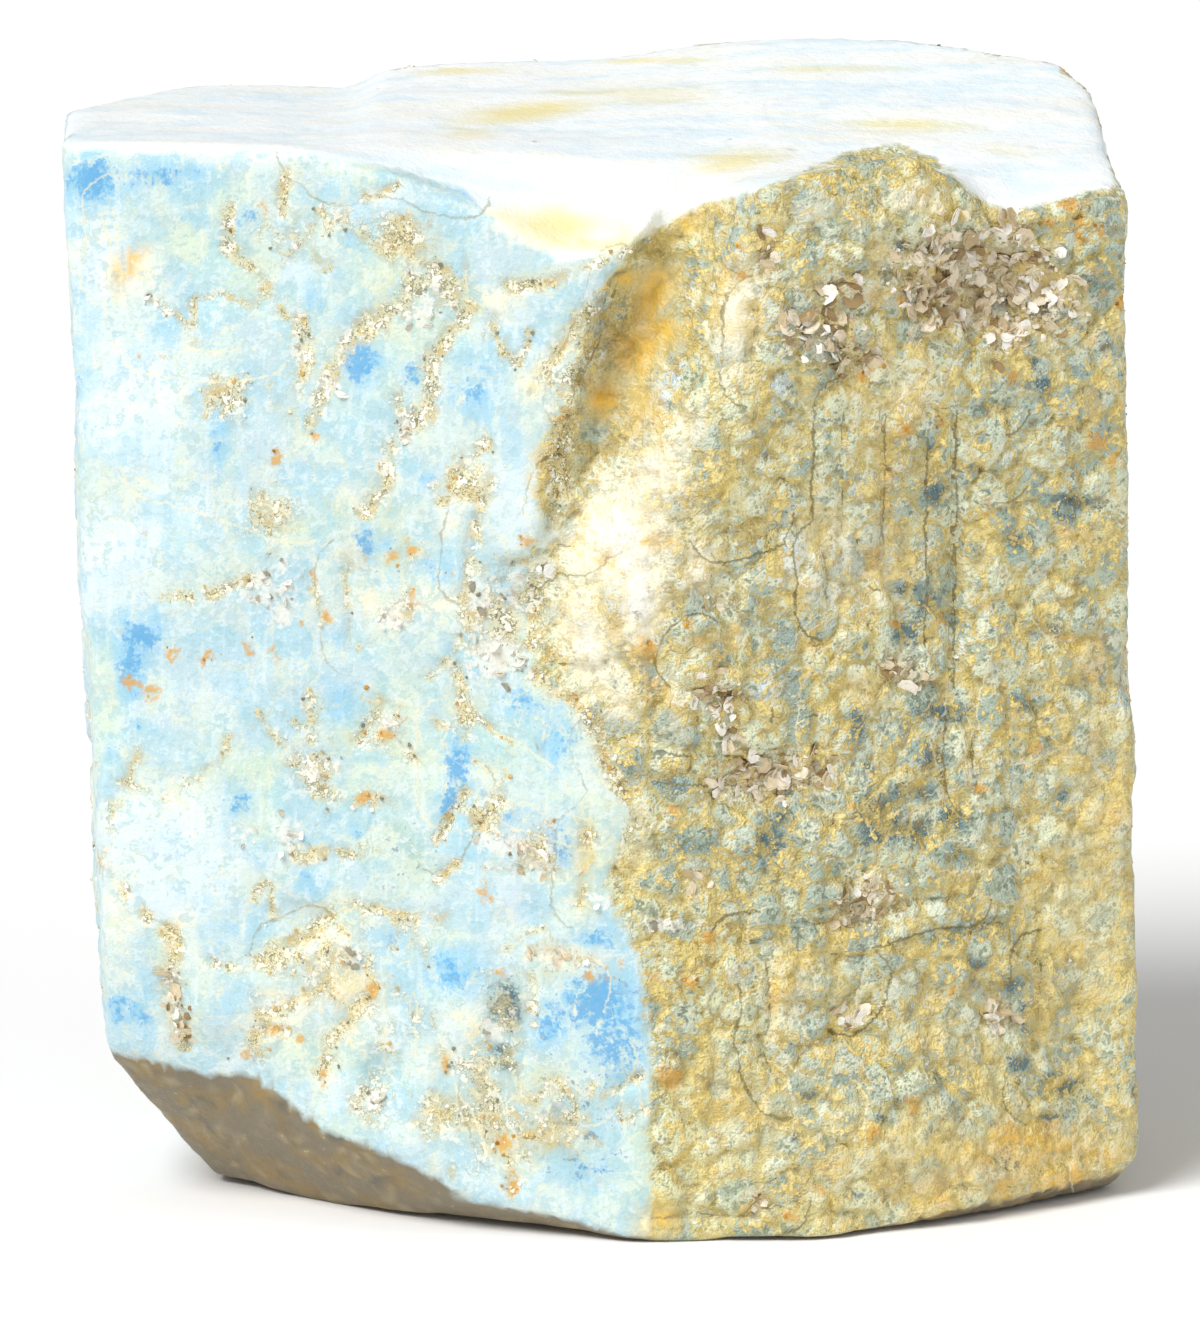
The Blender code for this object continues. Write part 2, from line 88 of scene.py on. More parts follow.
# Patches, as (u, v, half width, half height, lean in degrees, strength).
patches = {
    "blue": (
        (92, 179, 30, 26, 0, 1.1), (150, 178, 60, 18, 0, 0.8), (168, 177, 12, 12, 0, 1.1),
        (193, 172, 14, 8, 0, 0.9), (145, 142, 26, 7, 0, 0.7), (246, 218, 16, 16, 0, 0.95),
        (276, 181, 12, 9, 0, 0.7), (287, 250, 16, 10, 0, 0.62), (312, 300, 12, 18, 0, 0.7),
        (358, 360, 20, 24, 20, 1.25), (413, 374, 12, 14, 0, 1.15), (218, 443, 9, 26, 0, 1.0),
        (241, 422, 12, 14, 0, 0.7), (470, 388, 32, 30, 0, 0.78), (429, 473, 22, 22, 0, 0.66),
        (479, 195, 24, 6, 4, 0.95), (539, 337, 7, 16, 0, 0.8), (127, 617, 8, 9, 0, 0.9),
        (140, 637, 24, 14, 8, 1.2), (131, 672, 17, 32, 0, 1.0), (97, 653, 8, 7, 0, 0.8),
        (140, 725, 14, 9, 0, 0.95), (113, 748, 12, 12, 0, 0.8), (239, 803, 17, 16, 0, 1.05),
        (159, 614, 8, 6, 0, 0.7), (84, 480, 10, 60, 0, 0.5), (80, 380, 9, 16, 0, 0.7),
        (363, 543, 14, 22, 0, 1.0), (388, 545, 10, 8, 0, 0.9), (431, 571, 22, 12, 0, 0.95),
        (520, 700, 34, 22, 15, 0.82), (559, 738, 40, 46, 0, 0.7), (458, 765, 15, 32, 0, 1.1),
        (449, 803, 12, 22, 0, 1.1), (484, 794, 14, 9, 0, 0.8), (507, 816, 18, 14, 0, 0.8),
        (559, 849, 15, 32, 0, 0.95), (598, 938, 26, 14, 0, 1.0), (451, 973, 38, 28, 10, 0.86),
        (598, 1000, 42, 34, 0, 1.15), (612, 1046, 38, 38, 0, 1.0), (550, 1021, 18, 32, 0, 0.98),
        (598, 1165, 40, 30, 0, 0.75), (552, 1108, 18, 15, 0, 0.8), (310, 879, 16, 12, 0, 0.95),
        (361, 833, 7, 9, 0, 1.1), (301, 835, 11, 9, 0, 0.9), (394, 940, 12, 14, 0, 0.8),
        (140, 1015, 30, 26, 40, 0.78), (118, 1008, 12, 18, 0, 1.0), (228, 930, 30, 30, 0, 0.62),
        (218, 1010, 22, 26, 0, 0.6), (340, 700, 46, 30, 0, 0.6), (330, 640, 30, 26, 0, 0.55),
        (180, 320, 26, 14, 0, 0.6), (152, 300, 22, 26, 0, 0.5), (350, 240, 22, 16, 0, 0.5),
    ),
    "milky": (
        (85, 260, 46, 75, 0, 1.0), (120, 400, 70, 60, 0, 1.0), (110, 560, 60, 60, 0, 0.85),
        (165, 850, 62, 56, 10, 1.3), (178, 885, 46, 34, 0, 1.2), (255, 160, 80, 12, 0, 0.7),
        (377, 207, 34, 10, -20, 1.1), (170, 510, 80, 40, 0, 0.7), (230, 690, 60, 30, 0, 0.6),
        (300, 270, 20, 12, 0, 0.8), (512, 497, 26, 46, 0, 0.9), (560, 700, 20, 28, 0, 0.7),
        (586, 760, 26, 34, 0, 0.8), (195, 790, 40, 20, 0, 0.6), (596, 335, 10, 44, 8, 1.2),
        (590, 375, 10, 22, 25, 1.1), (500, 420, 16, 10, 0, 0.5), (515, 330, 14, 18, 0, 0.85),
        (505, 905, 40, 26, 0, 0.7), (330, 1090, 34, 26, 0, 0.6), (470, 1150, 26, 30, 0, 0.5),
        (693, 295, 10, 22, 10, 0.9), (663, 387, 10, 30, 28, 1.2), (640, 432, 22, 26, 20, 0.8),
        (775, 387, 16, 14, 0, 0.8), (791, 554, 18, 28, 0, 0.8), (769, 695, 18, 30, 0, 0.75),
        (739, 972, 18, 10, -15, 0.7), (716, 1139, 16, 18, 0, 0.6), (1119, 701, 14, 18, 0, 0.7),
        (1057, 979, 12, 18, 0, 0.6), (225, 1060, 26, 10, 0, 0.8), (170, 1040, 26, 18, 30, 0.6),
    ),
    "cream": (
        (620, 540, 52, 62, 12, 1.25), (588, 640, 30, 66, -14, 1.1), (640, 600, 22, 50, 0, 1.4),
        (655, 470, 34, 50, 25, 1.0), (738, 318, 26, 70, 8, 0.95), (690, 430, 26, 34, 20, 0.8),
        (133, 276, 24, 22, -35, 1.1), (465, 482, 26, 22, 0, 0.8), (812, 212, 26, 16, 0, 0.8),
        (700, 570, 26, 40, 0, 0.75), (560, 222, 56, 15, 0, 0.95), (640, 820, 12, 60, 0, 0.7),
        (120, 930, 20, 44, 0, 0.75), (185, 945, 16, 26, -20, 1.0), (270, 1020, 60, 22, -20, 0.75),
        (370, 1020, 34, 30, 0, 0.7), (420, 600, 70, 40, 0, 0.55), (330, 950, 40, 20, -30, 0.6),
        (360, 600, 34, 20, 0, 0.55), (470, 1010, 30, 30, 0, 0.5), (345, 990, 40, 24, -30, 0.6),
        (430, 1060, 60, 40, 0, 0.6), (915, 200, 34, 18, 0, 0.7), (450, 520, 24, 40, 0, 0.5),
        (900, 390, 90, 66, 0, 0.5), (850, 560, 80, 80, 0, 0.62), (1000, 300, 80, 50, 0, 0.5),
        (620, 700, 22, 40, 0, 0.8), (675, 700, 20, 60, 0, 0.6), (785, 1000, 26, 60, 0, 0.6),
        (545, 375, 34, 16, -35, 0.8), (500, 300, 30, 18, 0, 0.6), (1094, 760, 30, 60, 0, 0.5),
    ),
    "peach": (
        (543, 474, 9, 32, 4, 1.25), (519, 360, 10, 8, 0, 1.0), (612, 620, 10, 22, 0, 0.8),
        (640, 655, 16, 16, 0, 1.1), (655, 690, 14, 18, 0, 1.0), (715, 213, 26, 8, 10, 1.0),
        (725, 280, 12, 26, 0, 0.75), (172, 938, 9, 16, -20, 1.2), (128, 268, 10, 22, 35, 1.0),
        (720, 640, 22, 14, 0, 0.8), (600, 560, 18, 10, 0, 0.8), (660, 540, 26, 12, -10, 0.9),
        (690, 500, 20, 14, 0, 0.9), (1087, 644, 34, 18, 0, 0.9), (1094, 676, 20, 14, 0, 0.8),
        (1117, 818, 18, 16, 0, 1.1), (1094, 738, 22, 22, 0, 0.6), (1007, 1144, 14, 16, 0, 1.35),
        (1027, 1160, 11, 9, 0, 1.3), (1069, 1178, 22, 8, -20, 1.2), (1004, 1183, 13, 14, 0, 1.2),
        (940, 1197, 9, 12, 0, 1.1), (922, 1185, 10, 8, 0, 1.0), (1041, 1128, 9, 9, 0, 1.0),
        (837, 1165, 20, 12, 0, 0.8), (1082, 538, 28, 12, 0, 0.9), (984, 605, 14, 9, 0, 0.9),
        (875, 560, 12, 22, 0, 0.9), (900, 445, 14, 30, 0, 0.9), (890, 300, 22, 8, 0, 1.0),
        (1093, 403, 8, 20, 5, 1.3), (810, 649, 20, 10, 0, 0.9), (835, 681, 14, 10, 0, 0.9),
        (930, 1185, 60, 14, 0, 0.8), (1060, 1150, 60, 40, 0, 0.8), (990, 1165, 60, 30, 0, 0.7),
        (865, 210, 30, 26, 0, 0.7),
        (690, 930, 50, 50, 0, 0.4), (885, 478, 10, 60, 0, 0.9), (773, 1000, 8, 50, 0, 0.8),
        (632, 332, 24, 46, 25, 0.9), (602, 400, 12, 24, 20, 0.8),
    ),
    "stain": (
        (654, 290, 22, 34, 30, 1.3), (663, 329, 24, 26, 20, 1.2), (640, 350, 22, 40, 25, 1.2),
        (604, 395, 20, 30, 30, 1.15), (626, 278, 14, 12, 0, 1.2), (686, 226, 18, 14, -30, 1.1),
        (640, 400, 22, 30, 20, 0.9), (575, 430, 9, 24, 15, 0.9), (663, 1216, 24, 22, -30, 1.1),
        (640, 420, 20, 30, 15, 0.7), (575, 500, 10, 20, 0, 0.6), (866, 689, 26, 12, 15, 0.9),
        (290, 945, 14, 8, -20, 1.0), (745, 1212, 30, 9, -20, 0.9), (880, 250, 14, 40, 0, 0.7),
        (750, 345, 8, 34, 3, 0.8), (808, 392, 10, 16, 0, 0.9), (1060, 1206, 90, 12, -3, 0.9),
        (690, 1190, 40, 30, 0, 0.55), (585, 868, 8, 44, 2, 1.1), (440, 1110, 16, 30, 0, 0.75),
        (980, 1160, 250, 76, -4, 0.74), (760, 1120, 110, 110, 0, 0.58), (1090, 900, 60, 260, 0, 0.66),
        (1020, 1040, 130, 90, 0, 0.6), (500, 1120, 90, 70, 0, 0.62), (330, 1000, 90, 40, -25, 0.42),
        (380, 540, 90, 60, 0, 0.38), (545, 980, 90, 80, 0, 0.38),
        (820, 980, 120, 60, 0, 0.5),
        (740, 500, 30, 24, 0, 0.6), (736, 630, 12, 8, 0, 1.1), (700, 640, 12, 14, 0, 0.9),
        (1100, 560, 30, 60, 0, 0.45), (400, 235, 24, 18, 0, 0.85), (447, 284, 14, 18, 20, 0.8),
    ),
    "teal": (
        (876, 820, 26, 28, 0, 1.35), (915, 790, 26, 12, 0, 1.1), (920, 832, 26, 18, 0, 1.05),
        (954, 818, 26, 20, 0, 0.95), (961, 852, 22, 14, 0, 0.85), (856, 722, 10, 24, 0, 1.15),
        (870, 775, 14, 22, 0, 0.9), (904, 632, 18, 14, 0, 1.15), (909, 588, 20, 9, 0, 1.1),
        (927, 606, 22, 20, 0, 0.9), (945, 712, 36, 14, 0, 1.05), (931, 756, 20, 18, 0, 1.0),
        (769, 841, 14, 30, 8, 1.25), (780, 815, 10, 10, 0, 1.2), (778, 870, 14, 34, 0, 0.95),
        (1073, 501, 26, 8, 5, 1.3), (1062, 515, 22, 12, 0, 0.95), (1043, 384, 16, 9, 0, 1.15),
        (1030, 364, 12, 9, 0, 1.1), (1098, 256, 14, 12, 0, 1.05), (1087, 284, 12, 9, 0, 1.05),
        (1105, 348, 10, 9, 0, 1.0), (1066, 318, 22, 12, -20, 0.85), (935, 492, 16, 16, 0, 1.0),
        (931, 452, 16, 22, 0, 0.9), (856, 494, 18, 22, 0, 0.7), (764, 451, 20, 14, -40, 0.8),
        (1018, 541, 20, 16, 0, 1.0), (1039, 626, 26, 12, 10, 1.0), (1018, 702, 26, 16, 0, 0.95),
        (995, 926, 30, 12, 10, 1.05), (949, 940, 26, 16, 0, 1.0), (972, 965, 26, 8, 0, 1.0),
        (1007, 985, 20, 18, 0, 1.0), (1059, 1087, 26, 16, 0, 1.15), (1018, 1064, 16, 14, 0, 1.0),
        (1048, 1116, 30, 6, 0, 1.0), (1025, 1018, 8, 34, 0, 0.95), (1135, 1091, 6, 8, 0, 1.1),
        (812, 1096, 16, 10, 0, 1.0), (881, 1121, 14, 9, 0, 1.05), (899, 1103, 9, 9, 0, 1.0),
        (796, 1135, 12, 7, 0, 1.0), (938, 1075, 20, 12, 0, 0.9), (1062, 795, 8, 12, 0, 1.05),
        (856, 500, 14, 14, 0, 0.7), (905, 246, 13, 6, 0, 1.2), (888, 277, 7, 12, 0, 1.1),
        (1034, 309, 16, 14, 0, 1.1), (1000, 302, 14, 9, 0, 1.05), (670, 785, 36, 22, 0, 0.8),
        (680, 845, 40, 30, 0, 0.7), (507, 1006, 18, 26, 0, 1.15), (430, 290, 34, 22, -30, 0.6),
        (447, 287, 12, 9, 0, 1.1), (273, 557, 7, 8, 0, 1.0), (513, 640, 9, 9, 0, 1.0),
        (502, 1049, 11, 6, 20, 1.4), (509, 1065, 11, 5, 20, 1.4), (858, 950, 14, 20, 0, 0.8),
        (1075, 1000, 30, 40, 0, 0.5), (760, 1080, 30, 40, 0, 0.5), (970, 1110, 60, 40, 0, 0.55),
        (800, 1195, 12, 18, 0, 0.9), (850, 1195, 16, 10, 0, 0.9), (395, 985, 16, 18, 0, 0.5),
        (400, 560, 60, 60, 0, 0.4), (400, 860, 80, 60, 0, 0.48), (560, 1120, 80, 70, 0, 0.62),
        (800, 1170, 90, 40, 0, 0.6),
        (1010, 1165, 100, 36, 0, 0.58),
        (540, 980, 80, 70, 0, 0.42),
    ),
    "mica": (
        (980, 285, 80, 50, 8, 1.25), (940, 250, 34, 18, -20, 1.2), (1011, 234, 12, 20, 0, 1.2),
        (1040, 300, 30, 34, -20, 1.1), (842, 290, 24, 14, 0, 1.0), (830, 340, 42, 26, 12, 1.1),
        (783, 776, 40, 22, 0, 1.2), (727, 790, 20, 12, 0, 1.1), (718, 602, 16, 12, 20, 0.9),
        (718, 699, 22, 18, 0, 1.1), (732, 738, 12, 16, 0, 1.1), (866, 905, 32, 20, -20, 1.15),
        (868, 889, 20, 14, 0, 1.0), (905, 672, 26, 12, 25, 0.9), (997, 1016, 14, 18, 0, 1.1),
        (855, 1014, 18, 12, -20, 1.0), (770, 250, 10, 28, 8, 0.9), (176, 1010, 12, 38, -14, 0.9),
        (566, 957, 32, 8, 12, 1.1), (532, 858, 24, 12, 40, 0.95), (700, 880, 22, 10, -20, 0.7),
        (760, 1200, 16, 10, 0, 0.9), (920, 270, 40, 30, 0, 0.8),
    ),
    "silver": (
        (267, 590, 26, 22, -10, 1.0), (279, 568, 12, 9, 20, 1.2), (280, 619, 8, 9, 0, 1.2),
        (495, 658, 27, 20, 0, 1.25), (479, 604, 12, 14, 10, 1.1), (508, 600, 12, 12, 0, 0.9),
        (516, 578, 9, 10, 0, 1.0), (393, 619, 14, 13, 0, 1.1), (404, 430, 10, 16, 0, 1.0),
        (313, 770, 14, 16, 0, 0.9), (330, 763, 9, 10, 40, 1.0), (388, 722, 10, 12, 0, 1.0),
        (500, 844, 28, 10, 8, 1.2), (495, 1033, 14, 8, 35, 1.2), (374, 1099, 10, 9, -30, 1.4),
        (244, 835, 14, 8, -10, 1.1), (290, 833, 9, 15, 0, 1.1), (603, 902, 14, 7, 0, 1.0),
        (666, 925, 30, 6, -6, 1.1), (424, 310, 12, 26, 30, 0.9), (330, 385, 12, 14, 0, 0.9),
        (303, 355, 8, 14, 0, 0.9), (152, 298, 10, 8, 0, 0.9), (849, 1022, 9, 7, 0, 1.2),
        (996, 1022, 5, 9, 0, 1.2), (944, 249, 14, 7, -30, 1.2), (961, 318, 9, 7, 0, 1.1),
        (893, 988, 3, 14, 10, 1.0), (172, 975, 9, 14, 0, 0.9), (350, 960, 26, 10, -10, 0.7),
        (548, 570, 10, 20, 0, 0.8), (961, 650, 5, 9, 0, 1.0), (926, 548, 5, 9, 20, 1.0),
        (640, 610, 9, 30, 0, 0.8),
    ),
    "nest": (
        (228, 396, 26, 20, 0, 1.0), (400, 236, 30, 22, 12, 1.05), (447, 287, 22, 18, 0, 0.95),
        (268, 516, 24, 24, 15, 1.0), (288, 238, 20, 26, 0, 0.7), (335, 225, 22, 17, 0, 0.75),
        (500, 620, 36, 50, 0, 0.8), (465, 482, 26, 22, -40, 0.95), (388, 724, 20, 16, -30, 0.9),
        (310, 768, 24, 20, 30, 0.9), (488, 815, 26, 18, -40, 0.85), (322, 790, 18, 12, 30, 0.85),
        (507, 1010, 22, 34, 0, 0.75), (440, 1110, 26, 32, 0, 0.75), (374, 1098, 20, 26, 0, 0.9),
        (370, 798, 20, 9, 0, 0.9), (300, 955, 50, 16, -25, 0.85),
        (410, 925, 30, 22, 20, 0.65), (254, 1045, 22, 14, 0, 0.75), (540, 855, 26, 20, 35, 0.8),
        (400, 610, 24, 18, 0, 0.75), (410, 555, 20, 10, -40, 0.65), (505, 1060, 26, 20, 0, 0.75),
        (460, 1140, 30, 20, 0, 0.55), (275, 1000, 22, 12, 0, 0.6), (560, 380, 30, 16, -40, 0.75),
        (485, 1120, 40, 46, 0, 0.8), (560, 1128, 34, 26, 0, 0.7), (340, 965, 66, 24, -25, 0.65),
        (475, 1060, 40, 26, 0, 0.65), (400, 1040, 36, 24, 0, 0.55), (300, 730, 30, 40, 0, 0.5),
        (535, 590, 9, 34, 0, 0.85), (310, 740, 10, 40, 10, 0.7), (330, 850, 40, 8, 0, 0.8),
        (365, 1010, 26, 16, -40, 0.7), (490, 340, 16, 30, 0, 0.45), (520, 1150, 26, 14, 0, 0.55),
    ),
    "rust": (
        (166, 360, 6, 5, 0, 1.2), (143, 358, 4, 4, 0, 1.0), (276, 461, 5, 9, 35, 1.1),
        (299, 445, 5, 5, 0, 1.1), (315, 436, 5, 6, 0, 1.0), (271, 360, 4, 7, 0, 0.9),
        (262, 206, 5, 6, 0, 1.1), (204, 227, 12, 3, 5, 0.9), (464, 232, 4, 5, 0, 1.1),
        (463, 259, 6, 4, 10, 1.1), (311, 573, 4, 10, 0, 1.1), (326, 618, 5, 10, -25, 1.0),
        (299, 626, 6, 5, 0, 1.2), (276, 651, 7, 9, 0, 1.1), (250, 658, 4, 12, 0, 1.2),
        (209, 653, 4, 4, 0, 1.2), (203, 661, 4, 4, 0, 1.1), (172, 656, 8, 8, 0, 1.2),
        (129, 681, 7, 7, 0, 1.2), (152, 692, 9, 8, 0, 1.2), (115, 688, 4, 4, 0, 1.0),
        (236, 637, 4, 5, 0, 0.9), (146, 534, 6, 4, 0, 0.9), (93, 766, 4, 4, 0, 1.0),
        (386, 734, 7, 6, 0, 1.3), (366, 703, 5, 5, 0, 1.0), (404, 725, 4, 9, 0, 1.1),
        (413, 590, 5, 6, 0, 1.2), (416, 604, 5, 6, 0, 1.0), (392, 556, 6, 8, 40, 1.1),
        (409, 550, 9, 6, -30, 1.1), (449, 572, 4, 4, 0, 1.0), (363, 796, 7, 6, 0, 1.3),
        (379, 801, 6, 5, 0, 1.1), (550, 824, 6, 7, 0, 1.1), (486, 892, 8, 12, 0, 1.1),
        (504, 971, 5, 5, 0, 1.0), (592, 975, 7, 8, 0, 1.0), (619, 971, 12, 10, 10, 1.0),
        (656, 975, 9, 5, 0, 1.1), (708, 936, 6, 7, 0, 1.5), (688, 983, 8, 7, 0, 1.1),
        (670, 1077, 11, 10, 0, 1.5), (646, 1011, 5, 5, 0, 1.2), (1067, 203, 9, 7, 0, 1.4),
        (1088, 206, 5, 6, 0, 1.2), (1081, 221, 5, 6, 0, 1.1), (1078, 236, 5, 8, 0, 1.2),
        (1048, 221, 9, 5, 40, 1.0), (1101, 233, 9, 5, 45, 1.1), (1096, 272, 8, 5, 0, 1.1),
        (1101, 292, 6, 6, 0, 1.1), (1121, 304, 5, 9, 0, 1.2), (1092, 341, 6, 7, 0, 1.0),
        (1011, 377, 6, 7, 0, 1.1), (1096, 442, 11, 9, 0, 1.2), (1115, 460, 5, 8, 20, 1.1),
        (988, 506, 6, 12, 0, 1.0), (865, 373, 7, 7, 0, 1.4), (881, 366, 5, 4, 0, 1.2),
        (741, 247, 4, 4, 0, 1.4), (741, 276, 6, 6, 0, 1.1), (938, 423, 5, 5, 0, 1.2),
        (906, 300, 9, 6, 0, 1.0), (904, 430, 9, 8, 0, 1.0), (651, 649, 6, 5, 0, 1.4),
        (688, 623, 5, 5, 0, 1.1), (672, 809, 8, 5, -20, 1.1), (785, 824, 5, 5, 0, 1.1),
        (1036, 748, 6, 7, 0, 1.1), (1022, 767, 5, 5, 0, 1.1), (851, 806, 5, 5, 0, 1.0),
        (913, 1105, 7, 8, 0, 1.3), (873, 1133, 6, 6, 0, 1.2), (980, 789, 9, 5, 0, 1.1),
        (789, 1217, 9, 7, 0, 1.1), (819, 1190, 8, 8, 0, 1.0), (952, 990, 5, 5, 0, 1.0),
        (895, 624, 5, 5, 0, 1.2), (902, 610, 6, 6, 0, 1.0), (941, 620, 9, 6, -30, 0.9),
        (513, 1185, 6, 14, 0, 1.2), (504, 1142, 9, 8, 0, 1.2), (447, 1064, 4, 12, 0, 1.1),
        (374, 991, 6, 10, 20, 1.2), (273, 1031, 10, 5, -25, 1.2), (249, 1053, 7, 6, 0, 1.2),
        (301, 1039, 8, 5, 0, 1.1), (323, 1076, 4, 8, 0, 1.1), (530, 540, 10, 8, 0, 1.0),
    ),
    "yellow": (
        (525, 112, 60, 9, -6, 1.0), (560, 225, 66, 18, 0, 1.0), (600, 245, 70, 10, 0, 0.8),
        (905, 125, 70, 10, 0, 0.7), (730, 165, 60, 14, -12, 0.75), (470, 135, 36, 8, 0, 0.6),
        (1000, 150, 40, 8, 10, 0.5), (640, 95, 90, 10, 0, 0.6), (500, 216, 30, 10, 0, 0.7),
        (820, 70, 70, 6, 0, 0.5), (450, 70, 60, 5, 0, 0.9), (630, 60, 80, 4, 0, 0.8),
    ),
}

# Granular seams, as (half width, strength, u, v, u, v, ...).
seams = (
    (6, 0.9, 287, 168, 284, 190, 283, 218), (7, 1.1, 230, 205, 228, 228, 229, 254),
    (6, 0.9, 229, 252, 246, 264, 264, 278, 266, 298, 250, 306), (5, 0.9, 250, 305, 270, 309, 290, 318),
    (4, 0.7, 200, 299, 221, 294, 250, 305), (5, 1.0, 195, 297, 192, 322, 194, 348),
    (5, 0.8, 152, 298, 175, 314, 188, 324), (10, 1.1, 300, 318, 303, 345, 302, 372),
    (8, 0.9, 300, 370, 295, 396, 292, 422), (7, 0.8, 318, 210, 310, 240, 318, 262, 332, 268),
    (5, 1.1, 365, 198, 382, 192, 400, 184), (13, 1.1, 420, 278, 405, 298, 391, 314, 360, 331),
    (11, 1.1, 372, 325, 350, 342, 335, 360, 324, 388), (11, 0.9, 324, 388, 314, 412, 300, 440),
    (9, 1.0, 474, 305, 460, 325, 447, 342, 433, 358, 429, 372), (8, 1.0, 429, 372, 433, 392, 431, 411),
    (9, 1.0, 431, 411, 410, 427, 400, 440, 390, 452, 387, 484), (9, 0.9, 387, 484, 376, 500, 362, 517),
    (8, 0.8, 392, 240, 420, 262, 445, 270), (6, 0.8, 400, 392, 403, 415, 404, 438),
    (6, 1.0, 502, 285, 530, 286, 552, 282, 587, 266, 612, 255, 650, 236),
    (6, 0.8, 493, 314, 496, 335, 502, 351, 518, 364), (6, 0.8, 518, 363, 526, 350, 530, 330),
    (8, 1.1, 587, 305, 575, 326, 559, 351, 541, 376), (9, 1.1, 541, 376, 555, 388, 571, 400),
    (12, 1.1, 571, 404, 566, 430, 560, 462, 556, 492), (7, 1.0, 490, 440, 470, 460, 447, 486),
    (6, 1.1, 438, 504, 465, 492, 486, 505), (6, 0.9, 477, 511, 472, 540, 468, 575, 462, 600),
    (4, 0.8, 461, 633, 458, 648, 444, 664, 428, 680), (8, 1.1, 534, 672, 548, 686, 564, 695),
    (8, 1.1, 564, 695, 585, 715, 598, 745, 612, 772, 628, 800), (8, 0.9, 528, 560, 533, 600, 532, 650),
    (6, 1.0, 559, 486, 555, 505, 550, 532), (6, 1.0, 509, 566, 526, 560, 541, 550),
    (5, 0.9, 138, 750, 129, 780, 120, 804), (5, 0.8, 228, 736, 225, 759, 198, 776, 163, 800),
    (6, 0.7, 122, 780, 110, 821, 101, 865, 115, 883, 140, 909, 152, 920),
    (5, 0.6, 136, 787, 163, 791, 188, 805), (7, 0.8, 255, 578, 236, 585, 216, 592, 159, 600),
    (7, 0.9, 303, 578, 318, 600, 331, 624), (6, 0.8, 308, 690, 310, 712, 306, 750),
    (6, 0.7, 260, 713, 270, 730, 280, 746), (5, 0.8, 345, 569, 347, 600, 352, 647),
    (5, 0.7, 388, 635, 370, 644, 356, 648), (6, 0.7, 449, 727, 464, 733, 479, 741),
    (5, 0.8, 458, 704, 484, 722, 511, 743), (5, 0.7, 429, 718, 440, 724, 447, 729),
    (6, 1.0, 470, 787, 452, 815, 437, 842), (7, 1.1, 502, 796, 490, 812, 477, 826),
    (8, 0.8, 385, 700, 372, 722, 358, 745), (6, 0.8, 395, 740, 410, 755, 422, 765),
    (5, 0.9, 470, 760, 490, 770, 508, 776), (8, 0.7, 290, 856, 322, 858, 354, 856),
    (5, 0.9, 268, 879, 258, 890, 256, 904), (6, 0.8, 270, 885, 272, 905, 274, 925),
    (9, 1.1, 358, 902, 331, 915, 310, 936, 285, 945, 255, 964), (7, 0.9, 358, 909, 390, 912, 420, 918),
    (7, 0.8, 209, 959, 230, 966, 250, 968), (9, 1.0, 166, 925, 178, 945, 172, 975, 186, 1051),
    (8, 1.0, 377, 987, 356, 1010, 331, 1039, 322, 1076),
    (10, 0.75, 329, 964, 324, 987, 285, 1010, 257, 1012),
    (7, 0.9, 255, 1032, 273, 1029, 300, 1039), (7, 0.7, 415, 1003, 416, 1020, 415, 1037),
    (5, 0.9, 431, 1014, 440, 1045, 449, 1074), (6, 0.7, 532, 975, 534, 1000, 534, 1028),
    (7, 1.1, 470, 1049, 486, 1083, 494, 1115, 502, 1142), (6, 0.9, 502, 1142, 512, 1176, 513, 1196),
    (6, 0.9, 532, 1105, 555, 1078, 575, 1101, 575, 1124, 559, 1131, 525, 1137),
    (4, 0.8, 596, 1078, 592, 1088, 589, 1098), (6, 0.9, 642, 1073, 614, 1092, 604, 1098),
    (6, 0.9, 619, 1103, 621, 1121, 647, 1110), (5, 0.8, 449, 1163, 452, 1172, 455, 1184),
    (9, 1.2, 585, 826, 584, 867, 580, 908), (6, 0.9, 635, 817, 619, 856, 610, 879, 596, 890),
    (5, 0.7, 573, 881, 530, 872, 484, 867), (5, 0.7, 461, 860, 448, 870, 435, 882),
    (5, 0.6, 543, 927, 524, 940, 502, 952), (8, 0.8, 470, 740, 462, 700, 458, 660),
    (5, 0.7, 500, 780, 512, 800, 520, 830), (6, 0.6, 360, 905, 366, 950, 372, 985),
    (7, 0.6, 430, 1090, 428, 1120, 424, 1140), (7, 0.6, 640, 926, 668, 920, 697, 921),
)

